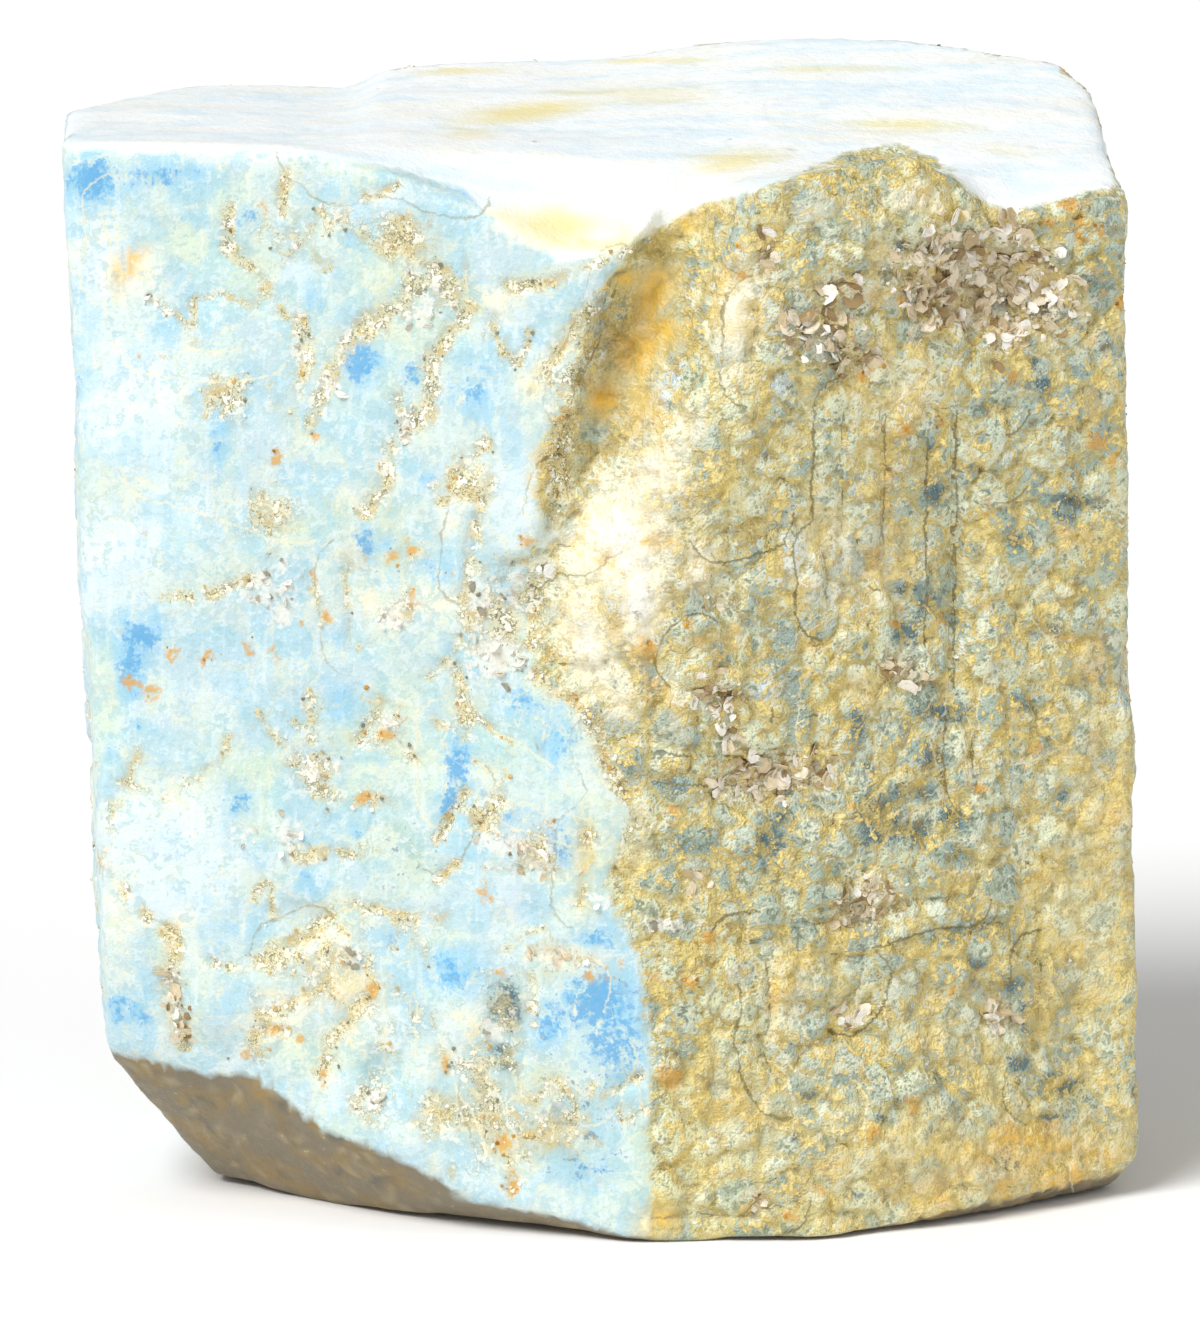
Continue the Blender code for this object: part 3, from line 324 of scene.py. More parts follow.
# Brown or dark cracks, as (half width, strength, u, v, u, v, ...).
cracks = (
    (5, 1.2, 956, 408, 957, 470, 956, 540, 955, 600, 954, 668, 955, 692),
    (4, 1.0, 659, 753, 690, 755, 741, 756, 803, 755),
    (5, 1.0, 792, 925, 820, 923, 847, 926, 870, 918, 911, 905),
    (4, 0.9, 918, 902, 940, 898, 963, 897), (4, 0.9, 541, 541, 560, 543, 579, 547),
    (4, 1.0, 559, 486, 554, 510, 549, 534), (4, 0.9, 509, 566, 526, 560, 541, 550),
    (5, 1.0, 310, 936, 296, 945, 280, 950), (4, 0.9, 488, 1083, 495, 1112, 503, 1142),
    (4, 0.9, 585, 835, 585, 867, 581, 900), (4, 0.8, 345, 569, 347, 600, 352, 647),
    (5, 0.9, 755, 306, 753, 340, 750, 378), (5, 1.0, 766, 960, 770, 990, 771, 1018, 764, 1041),
    (4, 0.8, 764, 1041, 769, 1064, 782, 1088), (5, 0.9, 886, 410, 885, 450, 884, 500, 883, 560),
    (4, 0.8, 927, 408, 950, 406, 1000, 406), (4, 0.7, 959, 471, 980, 470, 1000, 474),
    (4, 0.8, 844, 408, 843, 470, 842, 560), (4, 0.8, 720, 533, 742, 528, 762, 520),
    (4, 1.0, 697, 644, 690, 650, 686, 660), (4, 0.9, 823, 550, 828, 585, 826, 610),
    (4, 1.0, 727, 717, 735, 718, 742, 715), (4, 0.9, 818, 745, 816, 768, 808, 786),
    (4, 0.9, 846, 1004, 856, 992, 862, 978), (4, 0.8, 801, 933, 799, 945, 798, 958),
    (5, 0.9, 620, 1220, 700, 1214, 740, 1216, 780, 1204),
    (4, 0.7, 1041, 960, 1039, 1010, 1037, 1060, 1033, 1095),
    (3, 0.8, 309, 156, 330, 162, 364, 163, 410, 170, 438, 184, 461, 188),
    (3, 0.7, 330, 172, 336, 174, 342, 177), (4, 0.9, 477, 515, 470, 560, 468, 575),
    (4, 0.9, 598, 745, 612, 772, 628, 800), (3, 0.8, 435, 842, 448, 820, 466, 790),
    (4, 0.9, 614, 1092, 628, 1083, 642, 1074), (4, 0.8, 800, 940, 770, 940, 740, 945),
    (4, 0.8, 973, 740, 973, 764, 978, 790), (4, 0.8, 620, 275, 607, 320, 590, 362, 572, 400),
)

# Thin pale threads, as (half width, strength, u, v, u, v, ...). The half width is only how near counts.
threads = (
    (9, 1.0, 755, 469, 768, 446, 782, 423), (9, 1.0, 808, 260, 820, 248, 832, 238),
    (9, 1.0, 865, 667, 870, 697, 874, 727), (9, 1.0, 895, 704, 884, 732, 874, 761, 865, 791),
    (9, 1.0, 991, 658, 983, 680, 975, 704, 980, 740, 984, 772), (9, 1.0, 961, 738, 966, 760, 971, 784),
    (10, 1.0, 957, 789, 930, 805, 899, 821), (9, 1.0, 934, 814, 935, 826, 936, 840, 985, 840),
    (9, 1.0, 1036, 566, 1048, 588, 1064, 612), (9, 0.9, 993, 555, 998, 566, 1003, 576),
    (9, 0.9, 778, 933, 786, 975, 798, 1022, 815, 1048, 831, 1050), (9, 1.0, 810, 960, 814, 978, 817, 998),
    (9, 0.9, 835, 1150, 832, 1125, 838, 1105), (9, 1.0, 893, 975, 890, 988, 889, 1000),
    (9, 0.9, 885, 1000, 888, 1030, 893, 1060), (9, 0.9, 1105, 1136, 1103, 1155, 1099, 1175),
    (9, 0.9, 945, 1040, 935, 1028, 925, 1050), (9, 0.9, 762, 1130, 764, 1110, 760, 1090),
    (9, 0.9, 150, 345, 200, 352, 260, 348), (9, 0.9, 113, 204, 118, 240, 110, 275),
    (9, 0.8, 150, 470, 200, 480, 250, 500, 300, 515), (9, 0.8, 350, 930, 352, 960, 350, 1000),
    (9, 0.9, 455, 1000, 470, 1040, 486, 1080), (9, 0.9, 415, 990, 416, 1040, 415, 1060),
    (9, 0.9, 573, 1020, 577, 1000, 580, 985), (9, 0.9, 589, 1098, 596, 1078, 606, 1060),
    (9, 0.8, 520, 800, 560, 812, 590, 820), (9, 0.8, 447, 727, 447, 760, 446, 800),
    (9, 0.9, 690, 545, 692, 570, 690, 600), (9, 0.9, 828, 700, 826, 730, 832, 765),
    (9, 0.9, 840, 735, 840, 760, 846, 790), (9, 0.9, 905, 880, 888, 905, 868, 930),
    (9, 0.9, 1010, 570, 1002, 600, 990, 620), (9, 0.8, 1070, 745, 1040, 760, 1005, 765),
    (9, 0.9, 480, 1050, 500, 1100, 520, 1150), (9, 0.8, 200, 990, 240, 985, 290, 990),
    (9, 0.9, 870, 450, 862, 480, 866, 520), (9, 0.9, 858, 405, 850, 440, 852, 480),
    (9, 0.9, 1020, 420, 1000, 450, 985, 470), (9, 0.9, 935, 350, 930, 380, 905, 400),
    (9, 0.9, 960, 350, 950, 380, 940, 400), (9, 0.9, 1050, 330, 1075, 310, 1100, 300),
    (9, 0.9, 905, 690, 925, 660, 945, 640), (9, 0.9, 790, 640, 812, 620, 840, 605),
    (9, 0.9, 540, 690, 600, 700, 640, 712), (9, 0.9, 500, 700, 540, 720, 560, 735),
)


def hexToLinear(code):
    parts = [int(code[i:i + 2], 16) / 255 for i in (1, 3, 5)]
    return tuple(c / 12.92 if c <= 0.04045 else ((c + 0.055) / 1.055) ** 2.4 for c in parts) + (1.0,)


def addNode(tree, kind, settings=None, inputs=()):
    # Settings are a dictionary, or just the name of the operation. Inputs are a dictionary by name or
    # number, or a row that starts with the first one.
    node = tree.nodes.new(kind)
    if isinstance(settings, str):
        settings = {"operation": settings}
    if not isinstance(inputs, dict):
        inputs = dict(enumerate(inputs))
    for name, value in (settings or {}).items():
        setattr(node, name, value)
    for key, value in inputs.items():
        if isinstance(key, str):
            socket = next(s for s in node.inputs if s.enabled and s.name == key)
        else:
            socket = node.inputs[key]
        if isinstance(value, bpy.types.Node):
            value = next(s for s in value.outputs if s.enabled)
        if isinstance(value, bpy.types.NodeSocket):
            tree.links.new(value, socket)
        else:
            socket.default_value = value
    return node


def newTree(name, inputs):
    # A geometry tree that takes these inputs, and the values that its modifier gives them.
    tree = bpy.data.node_groups.new(name, "GeometryNodeTree")
    for way in ("INPUT", "OUTPUT"):
        tree.interface.new_socket("Geometry", in_out=way, socket_type="NodeSocketGeometry")
    values = {}
    for key, value in inputs.items():
        kind = "NodeSocketInt" if isinstance(value, int) else "NodeSocketFloat"
        socket = tree.interface.new_socket(key, in_out="INPUT", socket_type=kind)
        values[socket.identifier] = value
    return tree, values


def smoothStep(low, high, values):
    share = np.clip((values - low) / (high - low), 0.0, 1.0)
    return share * share * (3.0 - 2.0 * share)


def toPhoto(points):
    # Where points of the block, in metres, fall in the photograph.
    fromAim = points - np.array(viewAim)
    depth = view["distance"] + fromAim @ np.array(viewAhead)
    u = view["imageWide"] / 2 + view["focalPixels"] * points[:, 0] / depth
    v = view["imageHigh"] / 2 - view["focalPixels"] * (fromAim @ np.array(viewUp)) / depth
    return u, v


def patchField(u, v, table):
    # 0.5 on each patch's outline, more inside it.
    field = np.zeros(len(u))
    for centreU, centreV, halfWide, halfHigh, lean, strength in table:
        turn = math.radians(lean)
        du = u - centreU
        dv = v - centreV
        along = (du * math.cos(turn) + dv * math.sin(turn)) / halfWide
        across = (dv * math.cos(turn) - du * math.sin(turn)) / halfHigh
        field = np.maximum(field, strength * np.clip(1.0 - np.hypot(along, across) / 2.0, 0.0, 1.0))
    return field


farOff = 10.0      # mm: what counts as no line near


def lineField(u, v, table, widen=1.0):
    # How near each point is to a line (0.5 at its half width), and its signed distance in mm.
    near = np.zeros(len(u))
    signed = np.full(len(u), farOff)
    for halfWidth, strength, *flat in table:
        points = list(zip(flat[::2], flat[1::2]))
        for (u0, v0), (u1, v1) in zip(points, points[1:]):
            length = math.hypot(u1 - u0, v1 - v0)
            du, dv = (u1 - u0) / length, (v1 - v0) / length
            run = (u - u0) * du + (v - v0) * dv
            along = np.clip(run, 0.0, length)
            side = (u - u0) * dv - (v - v0) * du
            away = np.hypot(u - u0 - along * du, v - v0 - along * dv)
            reach = 2.0 * halfWidth * widen
            fade = (away + 2.0 * np.abs(run - along)) / reach     # lines end in a point
            near = np.maximum(near, strength * np.clip(1.0 - fade, 0.0, 1.0))
            away = away / view["pixelsPerMm"]
            signed = np.where(away < np.abs(signed), np.sign(side) * away, signed)
    return near, signed


def drift(points, size, seed):
    # A soft random field with features of about this size in mm, 0 to 1.
    offset = Vector((seed, 2.3 * seed, 5.1 * seed))
    scale = 1.0 / (size * mm)
    values = [noise.fractal(Vector(p) * scale + offset, 0.9, 2.0, 3) for p in points]
    return np.clip(0.5 + 0.5 * np.array(values), 0.0, 1.0)


def meshArrays(mesh):
    points = np.zeros(len(mesh.vertices) * 3)
    mesh.vertices.foreach_get("co", points)
    normals = np.zeros(len(mesh.vertices) * 3)
    mesh.vertices.foreach_get("normal", normals)
    edges = np.zeros(len(mesh.edges) * 2, dtype=np.int64)
    mesh.edges.foreach_get("vertices", edges)
    return points.reshape(-1, 3), normals.reshape(-1, 3), edges.reshape(-1, 2)


def softNormals(normals, edges, rounds):
    # Normals averaged with their neighbours', so that small chips don't change what a face is.
    count = len(normals)
    for _ in range(rounds):
        total = np.empty_like(normals)
        for axis in range(3):
            total[:, axis] = normals[:, axis]
            total[:, axis] += np.bincount(edges[:, 0], normals[edges[:, 1], axis], count)
            total[:, axis] += np.bincount(edges[:, 1], normals[edges[:, 0], axis], count)
        normals = total / np.maximum(np.linalg.norm(total, axis=1, keepdims=True), 1e-9)
    return normals


# Where one kind of surface gives way to another, as the two ends of each change.
zones = {
    "facing": (0.02, 0.2),       # how far turned toward the camera: the photograph shows the rock
    "away": (0.1, 0.5),          # how far turned from it
    "lip": (-5.0, 5.0),          # pixels above the lip: the smooth top
    "level": (0.55, 0.85),       # how level, and how many mm up: the top where it isn't seen
    "high": (60.0, 66.0),
    "underEdge": (-3.0, 4.0),    # pixels below the left face's lower edge
    "underRight": 480.0,         # the pixel column where that edge ends
    "downward": (0.35, 0.75),
    "slabEdge": (-8.0, 8.0),     # pixels to the right of the blue slab
    "middle": (-9.0, 9.0),       # mm to the right of the middle, where it isn't seen
    "wander": 40.0,              # mm that this line wanders
}
# How hackly the break is. The left face is a plane of the crystal, and the top is smooth.
hackle = {
    "left": 0.13,
    "right": 1.0,
    "lostOnTop": 0.85,
    "lostUnder": 0.35,
    "lostAtRightEdge": 0.75,
    "rightEdge": (33.0, 36.0),       # mm to the right of the middle
    "moreOnUnseen": 0.4,
}
# Listed lines that the rock follows: name, table, how much wider, then the size in mm and the seed
# of the soft field that swells and thins them, and that draws more of them where the photograph doesn't
# show the rock.
lines = (
    ("seam", seams, 0.8, 4.0, 31.0),
    ("haze", seams, 2.4, 8.0, 31.0),
    ("crack", cracks, 1.0, 7.0, 32.0),
    ("thread", threads, 1.0, 5.0, 33.0),
)


def mapSurface(mesh):
    # Stores on every vertex what the rock is there: its zone, stains, seams, cracks and nests.
    points, normals, edges = meshArrays(mesh)
    normals = softNormals(normals, edges, 8)
    u, v = toPhoto(points)
    millimetres = points / mm

    toCamera = -(normals @ np.array(viewAhead))
    facing = smoothStep(*zones["facing"], toCamera)
    lipV = np.interp(u, [p[0] for p in topLip], [p[1] for p in topLip])
    edgeV = np.interp(u, [p[0] for p in underEdge], [p[1] for p in underEdge])
    slabU = np.interp(v, [p[0] for p in slabBoundary], [p[1] for p in slabBoundary])
    level = smoothStep(*zones["level"], normals[:, 2]) * smoothStep(*zones["high"], millimetres[:, 2])
    top = facing * smoothStep(*zones["lip"], lipV - v) + (1.0 - facing) * level
    downward = smoothStep(*zones["downward"], -normals[:, 2])
    underSeen = smoothStep(*zones["underEdge"], v - edgeV) * (u < zones["underRight"])
    under = np.maximum(facing * underSeen + (1.0 - facing) * downward, downward)
    front = facing * (1.0 - top) * (1.0 - under)
    unseen = (1.0 - facing) * (1.0 - top) * (1.0 - under)
    away = smoothStep(*zones["away"], -toCamera)

    wander = drift(points, 16.0, 3.0)
    rightward = smoothStep(*zones["middle"], millimetres[:, 0] + zones["wander"] * (wander - 0.5))
    side = np.where(facing > 0.5, smoothStep(*zones["slabEdge"], u - slabU), rightward)

    masks = {"top": top, "under": under, "side": side, "front": front}
    wild = {      # on faces the photograph doesn't show: size in mm, seed, how much, on which side
        "blue": (9.0, 11.0, 1.25, 1.0 - side), "milky": (13.0, 12.0, 1.25, 1.0 - side),
        "cream": (12.0, 13.0, 0.95, 1.0), "peach": (7.0, 14.0, 0.9, side),
        "stain": (14.0, 15.0, 0.75, side), "teal": (6.5, 16.0, 1.15, side),
        "mica": (9.0, 17.0, 0.72, 1.0), "silver": (6.0, 18.0, 0.7, 1.0 - side),
        "nest": (5.0, 19.0, 1.0, 1.0 - 0.4 * side), "rust": (3.0, 20.0, 0.6, 1.0),
        "yellow": (18.0, 21.0, 0.4, 1.0),
    }
    for name, (size, seed, amount, where) in wild.items():
        placed = patchField(u, v, patches[name]) * facing
        if name != "yellow":
            placed *= 1.0 - top * (1.0 - smoothStep(-12.0, 0.0, v - lipV))
        free = np.clip((drift(points, size, seed) - 0.2) * amount, 0.0, 1.2)
        if name in ("mica", "silver", "nest", "rust"):
            free *= away
        masks[name] = placed + free * where * (1.0 - facing) * (1.0 - top)
    for name, table, widen, size, seed in lines:
        near, signed = lineField(u, v, table, widen)
        swell = drift(points, size, seed)
        ridge = 1.0 - np.abs(swell - 0.5) * 9.0
        if name == "crack":
            near = near * (0.66 + 0.34 * side)
        elif name != "thread":
            near = near * (0.35 + 1.3 * swell)
        masks[name] = near * facing * (1.0 - top) + np.clip(ridge, 0.0, 0.8) * unseen
        if name in ("crack", "thread"):
            masks[name + "Side"] = np.where(facing > 0.4, signed, farOff)
    rough = hackle["left"] + (hackle["right"] - hackle["left"]) * side
    rough = rough * (1.0 - hackle["lostOnTop"] * top) * (1.0 - hackle["lostUnder"] * under)
    atEdge = smoothStep(*hackle["rightEdge"], millimetres[:, 0]) * (1.0 - away)
    rough = rough * (1.0 - hackle["lostAtRightEdge"] * atEdge)
    masks["rough"] = np.clip(rough + hackle["moreOnUnseen"] * unseen * away, 0.0, 1.15)

    for name, values in masks.items():
        layer = mesh.attributes.get(name) or mesh.attributes.new(name, "FLOAT", "POINT")
        layer.data.foreach_set("value", values.astype(np.float32))


skin = {
    "voxel": 0.38,            # mm, before thinning
    "softening": 4,           # rounds that take the facets out of the solid's own faces
    "triangles": 196000,
    "frontKept": 0.72,        # how much less the front is thinned than the rest
}
relief = {
    "plateSize": 2.4,         # mm across one broken plate
    "plateStep": 0.62,        # mm
    "plateTilt": 1.1,         # how steep a plate may lean
    "plateLevels": 0.45,      # how far apart the plates' levels are
    "chipSize": 1.0,
    "chipStep": 0.28,
    "grainSize": 0.75,
    "grainStep": 0.26,
    "striaeRise": 0.16,       # the fine upright lines of the prism faces
    "edgeDepth": 0.25,        # grooves between the plates
    "edgeWidth": 0.3,
    "seamDepth": 0.26,
    "crackDepth": 0.5,
    "micaDepth": 0.25,
    "footSpare": 0.9,         # mm above the floor below which nothing is roughened
}


# How the plates and the chips are bent: the size of the bends and how far they push, in mm.
bends = {"plates": (3.0, 1.0), "chips": (1.4, 0.5)}
striaeShrink = (1.3, 1.3, 0.12)      # features per mm along x, y and z: long upright lines


def brokenPlates(tree, given, place, size):
    # Small broken plates, each tilted its own way: the rise, -0.5 to 0.5, and each plate's own tone.
    add = functools.partial(addNode, tree)
    perSize = add("ShaderNodeMath", "DIVIDE", (1.0, size))
    cells = add("ShaderNodeTexVoronoi", None, {"Vector": place, "Scale": perSize, "Randomness": 1.0})
    lean = add("ShaderNodeVectorMath", "SUBTRACT", (cells.outputs["Color"], (0.5, 0.5, 0.5)))
    fromSeed = add("ShaderNodeVectorMath", "SUBTRACT", (place, cells.outputs["Position"]))
    slope = add("ShaderNodeVectorMath", "DOT_PRODUCT", (lean, fromSeed)).outputs["Value"]
    offset = add("ShaderNodeSeparateXYZ", None, (lean,))
    steep = add("ShaderNodeMath", "MULTIPLY", (slope, given.outputs["plateTilt"]))
    steep = add("ShaderNodeMath", "MULTIPLY", (steep, perSize))
    rise = add("ShaderNodeMath", "MULTIPLY_ADD", (offset, given.outputs["plateLevels"], steep))
    return rise, offset.outputs[1]


def bentPlace(tree, place, size, reach):
    # The place, pushed about by up to this many mm, so that no pattern runs straight.
    add = functools.partial(addNode, tree)
    push = add("ShaderNodeTexNoise", None, {"Vector": place, "Scale": 1.0 / size, "Detail": 2.0})
    middle = add("ShaderNodeVectorMath", "SUBTRACT", (push.outputs["Color"], (0.5, 0.5, 0.5)))
    return add("ShaderNodeVectorMath", "MULTIPLY_ADD", (middle, (reach,) * 3, place))


def modified(source, name, kind, settings):
    # A plain mesh: the source after one modifier.
    helper = bpy.data.objects.new("helper", source)
    bpy.context.collection.objects.link(helper)
    modifier = helper.modifiers.new("step", kind)
    for key, value in settings.items():
        if key.startswith("Socket"):
            modifier[key] = value
        else:
            setattr(modifier, key, value)
    if kind == "DECIMATE" and settings.get("vertex_group"):
        group = helper.vertex_groups.new(name=settings["vertex_group"])
        spare = source.attributes["spare"]
        weights = np.zeros(len(source.vertices))
        spare.data.foreach_get("value", weights)
        steps = np.round(weights, 1)
        for step in np.unique(steps):
            group.add(np.nonzero(steps == step)[0].tolist(), float(step), "REPLACE")
    shown = helper.evaluated_get(bpy.context.evaluated_depsgraph_get())
    mesh = bpy.data.meshes.new_from_object(shown)
    mesh.name = name
    bpy.data.objects.remove(helper)
    return mesh


def reliefTree():
    tree, values = newTree("beryl relief", relief)
    add = functools.partial(addNode, tree)
    given = add("NodeGroupInput")
    place = add("ShaderNodeVectorMath", "SCALE", {0: add("GeometryNodeInputPosition"), "Scale": 1.0 / mm})
    masks = {name: add("GeometryNodeInputNamedAttribute", {"data_type": "FLOAT"}, {"Name": name})
             for name in ("rough", "seam", "crack", "mica", "nest")}

    bent = bentPlace(tree, place, *bends["plates"])
    plates, tone = brokenPlates(tree, given, bent, given.outputs["plateSize"])
    chipPlace = bentPlace(tree, place, *bends["chips"])
    chips, _ = brokenPlates(tree, given, chipPlace, given.outputs["chipSize"])
    perPlate = add("ShaderNodeMath", "DIVIDE", (1.0, given.outputs["plateSize"]))
    edge = add("ShaderNodeTexVoronoi", {"feature": "DISTANCE_TO_EDGE"},
               {"Vector": bent, "Scale": perPlate, "Randomness": 1.0})
    edge = add("ShaderNodeMath", "MULTIPLY", (edge.outputs["Distance"], given.outputs["plateSize"]))
    perGrain = add("ShaderNodeMath", "DIVIDE", (1.0, given.outputs["grainSize"]))
    grain = add("ShaderNodeTexNoise", None, {"Vector": place, "Scale": perGrain, "Detail": 2.0})
    upright = add("ShaderNodeVectorMath", "MULTIPLY", (place, striaeShrink))
    striae = add("ShaderNodeTexNoise", None, {"Vector": upright, "Scale": 1.0, "Detail": 1.0})

    total = add("ShaderNodeMath", "MULTIPLY", (plates, given.outputs["plateStep"]))
    chipRise = add("ShaderNodeMath", "MULTIPLY", (chips, given.outputs["chipStep"]))
    total = add("ShaderNodeMath", "ADD", (total, chipRise))
    groove = add("ShaderNodeMapRange", None,
                 (edge, 0.0, given.outputs["edgeWidth"], given.outputs["edgeDepth"], 0.0))
    total = add("ShaderNodeMath", "SUBTRACT", (total, groove))
    broken = add("ShaderNodeMath", "MULTIPLY_ADD", (masks["mica"], 0.5, masks["rough"]))
    total = add("ShaderNodeMath", "MULTIPLY", (total, broken))
    grainMiddle = add("ShaderNodeMath", "SUBTRACT", (grain.outputs[0], 0.5))
    nestHere = add("ShaderNodeMath", "ADD", (masks["seam"], masks["nest"]))
    grainHere = add("ShaderNodeMath", "MULTIPLY_ADD", (nestHere, 2.4, masks["rough"]))
    grainRise = add("ShaderNodeMath", "MULTIPLY", (grainMiddle, given.outputs["grainStep"]))
    total = add("ShaderNodeMath", "MULTIPLY_ADD", (grainRise, grainHere, total))
    striaeMiddle = add("ShaderNodeMath", "SUBTRACT", (striae.outputs[0], 0.5))
    total = add("ShaderNodeMath", "MULTIPLY_ADD", (striaeMiddle, given.outputs["striaeRise"], total))
    for mask in ("seam", "crack", "mica"):
        carved = add("ShaderNodeMath", "MULTIPLY", (masks[mask], given.outputs[mask + "Depth"]))
        total = add("ShaderNodeMath", "SUBTRACT", (total, carved))

    height = add("ShaderNodeSeparateXYZ", None, (place,))
    offFoot = add("ShaderNodeMapRange", {"interpolation_type": "SMOOTHSTEP"},
                  (height.outputs["Z"], 0.1, given.outputs["footSpare"]))
    total = add("ShaderNodeMath", "MULTIPLY", (total, offFoot))
    total = add("ShaderNodeMath", "MULTIPLY", (total, mm))
    push = add("ShaderNodeVectorMath", "SCALE", {0: add("GeometryNodeInputNormal"), "Scale": total})
    geometry = given
    for name, value in (("plateTone", tone), ("plateEdge", edge)):
        geometry = add("GeometryNodeStoreNamedAttribute", {"data_type": "FLOAT", "domain": "POINT"},
                       {"Geometry": geometry.outputs["Geometry"], "Name": name, "Value": value})
    moved = add("GeometryNodeSetPosition", None, {"Geometry": geometry, "Offset": push})
    add("NodeGroupOutput", None, {"Geometry": moved})
    return tree, values


def makeSkin():
    work = bmesh.new()
    work.from_mesh(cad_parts["beryl_block"].data)
    bmesh.ops.remove_doubles(work, verts=work.verts[:], dist=1e-6)
    mesh = bpy.data.meshes.new("block copy")
    work.to_mesh(mesh)
    work.free()

    mesh = modified(mesh, "fine grid", "REMESH", {"mode": "VOXEL", "voxel_size": skin["voxel"] * mm})
    mesh = modified(mesh, "soft grid", "SMOOTH", {"factor": 0.5, "iterations": skin["softening"]})
    mapSurface(mesh)
    tree, values = reliefTree()
    mesh = modified(mesh, "relief", "NODES", {"node_group": tree, **values})
    front = np.zeros(len(mesh.vertices))
    mesh.attributes["front"].data.foreach_get("value", front)
    spare = mesh.attributes.new("spare", "FLOAT", "POINT")
    spare.data.foreach_set("value", (1.0 - skin["frontKept"] * front).astype(np.float32))
    triangles = sum(len(face.vertices) - 2 for face in mesh.polygons)
    ratio = skin["triangles"] / triangles
    print("relief on", triangles, "triangles")
    settings = {"ratio": ratio, "use_collapse_triangulate": True, "vertex_group": "spare"}
    mesh = modified(mesh, "beryl_skin", "DECIMATE", settings)
    points, _, _ = meshArrays(mesh)
    points[:, 2] = np.maximum(points[:, 2], 0.0)
    mesh.vertices.foreach_set("co", points.ravel())
    mesh.attributes.remove(mesh.attributes["spare"])
    mesh.update()
    mapSurface(mesh)
    tree, values = groundTree(berylMaterial())
    mesh = modified(mesh, "beryl_skin", "NODES", {"node_group": tree, **values})
    mesh.shade_smooth()
    piece = bpy.data.objects.new("beryl_skin", mesh)
    bpy.context.scene.collection.objects.link(piece)
    print("skin", len(mesh.polygons), "triangles")
    return piece


# Soft random fields over the rock: name, feature size in mm along x, y and z, detail.
rockFields = (
    ("cloud", (9.0, 9.0, 9.0), 2.0),
    ("patch", (2.4, 2.4, 2.4), 3.0),
    ("crumb", (0.9, 0.9, 0.9), 1.0),
    ("streak", (15.0, 2.6, 2.2), 4.0),
    ("vein", (5.0, 5.0, 7.0), 1.0),
)

# Coats of colour, laid one over another. Each row: field, what breaks it up, how much, from, to,
# strength, colour, and the field it is kept to. The first five tables are laid on the mesh.
leftCoats = (
    ("patch", None, 0.0, 0.44, 0.62, 0.8, "#b4dae4", None),
    ("cloud", "patch", 0.4, 0.48, 0.66, 0.65, "#d3e4c4", None),
    ("patch", "cloud", 0.5, 0.40, 0.30, 0.4, "#deedef", None),
)
rightCoats = (
    ("patch", "crumb", 0.3, 0.46, 0.62, 0.8, "#a9bcb0", None),
    ("patch", "crumb", 0.3, 0.44, 0.34, 0.6, "#e6ebd0", None),
    ("cloud", "patch", 0.6, 0.50, 0.66, 0.6, "#e9e4a8", None),
)
sharedCoats = (
    ("milky", "patch", 0.8, 0.30, 0.66, 0.8, "#e2f0f8", None),
    ("cream", "patch", 1.0, 0.28, 0.62, 0.95, "#fff6d8", None),
    ("cream", "crumb", 1.0, 0.80, 1.06, 0.7, "#fffdf2", None),
    ("blue", "patch", 0.8, 0.30, 0.62, 0.9, "#9ad0ec", None),
    ("teal", "patch", 0.8, 0.34, 0.62, 0.8, "#8da8a3", None),
    ("stain", "patch", 1.4, 0.30, 0.68, 0.8, "#dcb84a", None),
    ("stain", "crumb", 0.8, 0.84, 1.08, 0.9, "#ffcf40", None),
    ("peach", "crumb", 1.4, 0.44, 0.68, 0.75, "#efb93e", None),
    ("haze", "crumb", 1.2, 0.36, 0.95, 0.5, "#e0dfb4", None),
    ("nest", "crumb", 1.6, 0.40, 0.74, 0.6, "#dac894", None),
    ("seam", "crumb", 1.6, 0.38, 0.74, 0.65, "#e0cb92", None),
    ("mica", "crumb", 0.7, 0.34, 0.60, 0.8, "#e8dcba", None),
)
topCoats = (
    ("streak", "patch", 0.5, 0.48, 0.66, 0.7, "#dbf2fd", None),
    ("streak", "cloud", 0.6, 0.50, 0.34, 0.6, "#faf9ec", None),
    ("yellow", "streak", 1.2, 0.28, 0.76, 0.85, "#f5e69c", None),
    ("blue", "streak", 0.9, 0.26, 0.62, 0.85, "#9ccfee", None),
    ("streak", "crumb", 0.5, 0.76, 0.94, 0.5, "#eadfb4", None),
)
# The underside: ochre streaks and pale crumbs of its own, on a dark grey-brown ground with dark grey
# patches that are painted shade, since it faces away from the light.
underShadeCoats = (
    ("streak", "patch", 0.9, 0.46, 0.64, 0.9, "#a08240", None),
    ("patch", "streak", 0.6, 0.52, 0.68, 0.85, "#5c5e58", None),
    ("crumb", "patch", 0.5, 0.58, 0.72, 0.6, "#b3a27e", None),
)
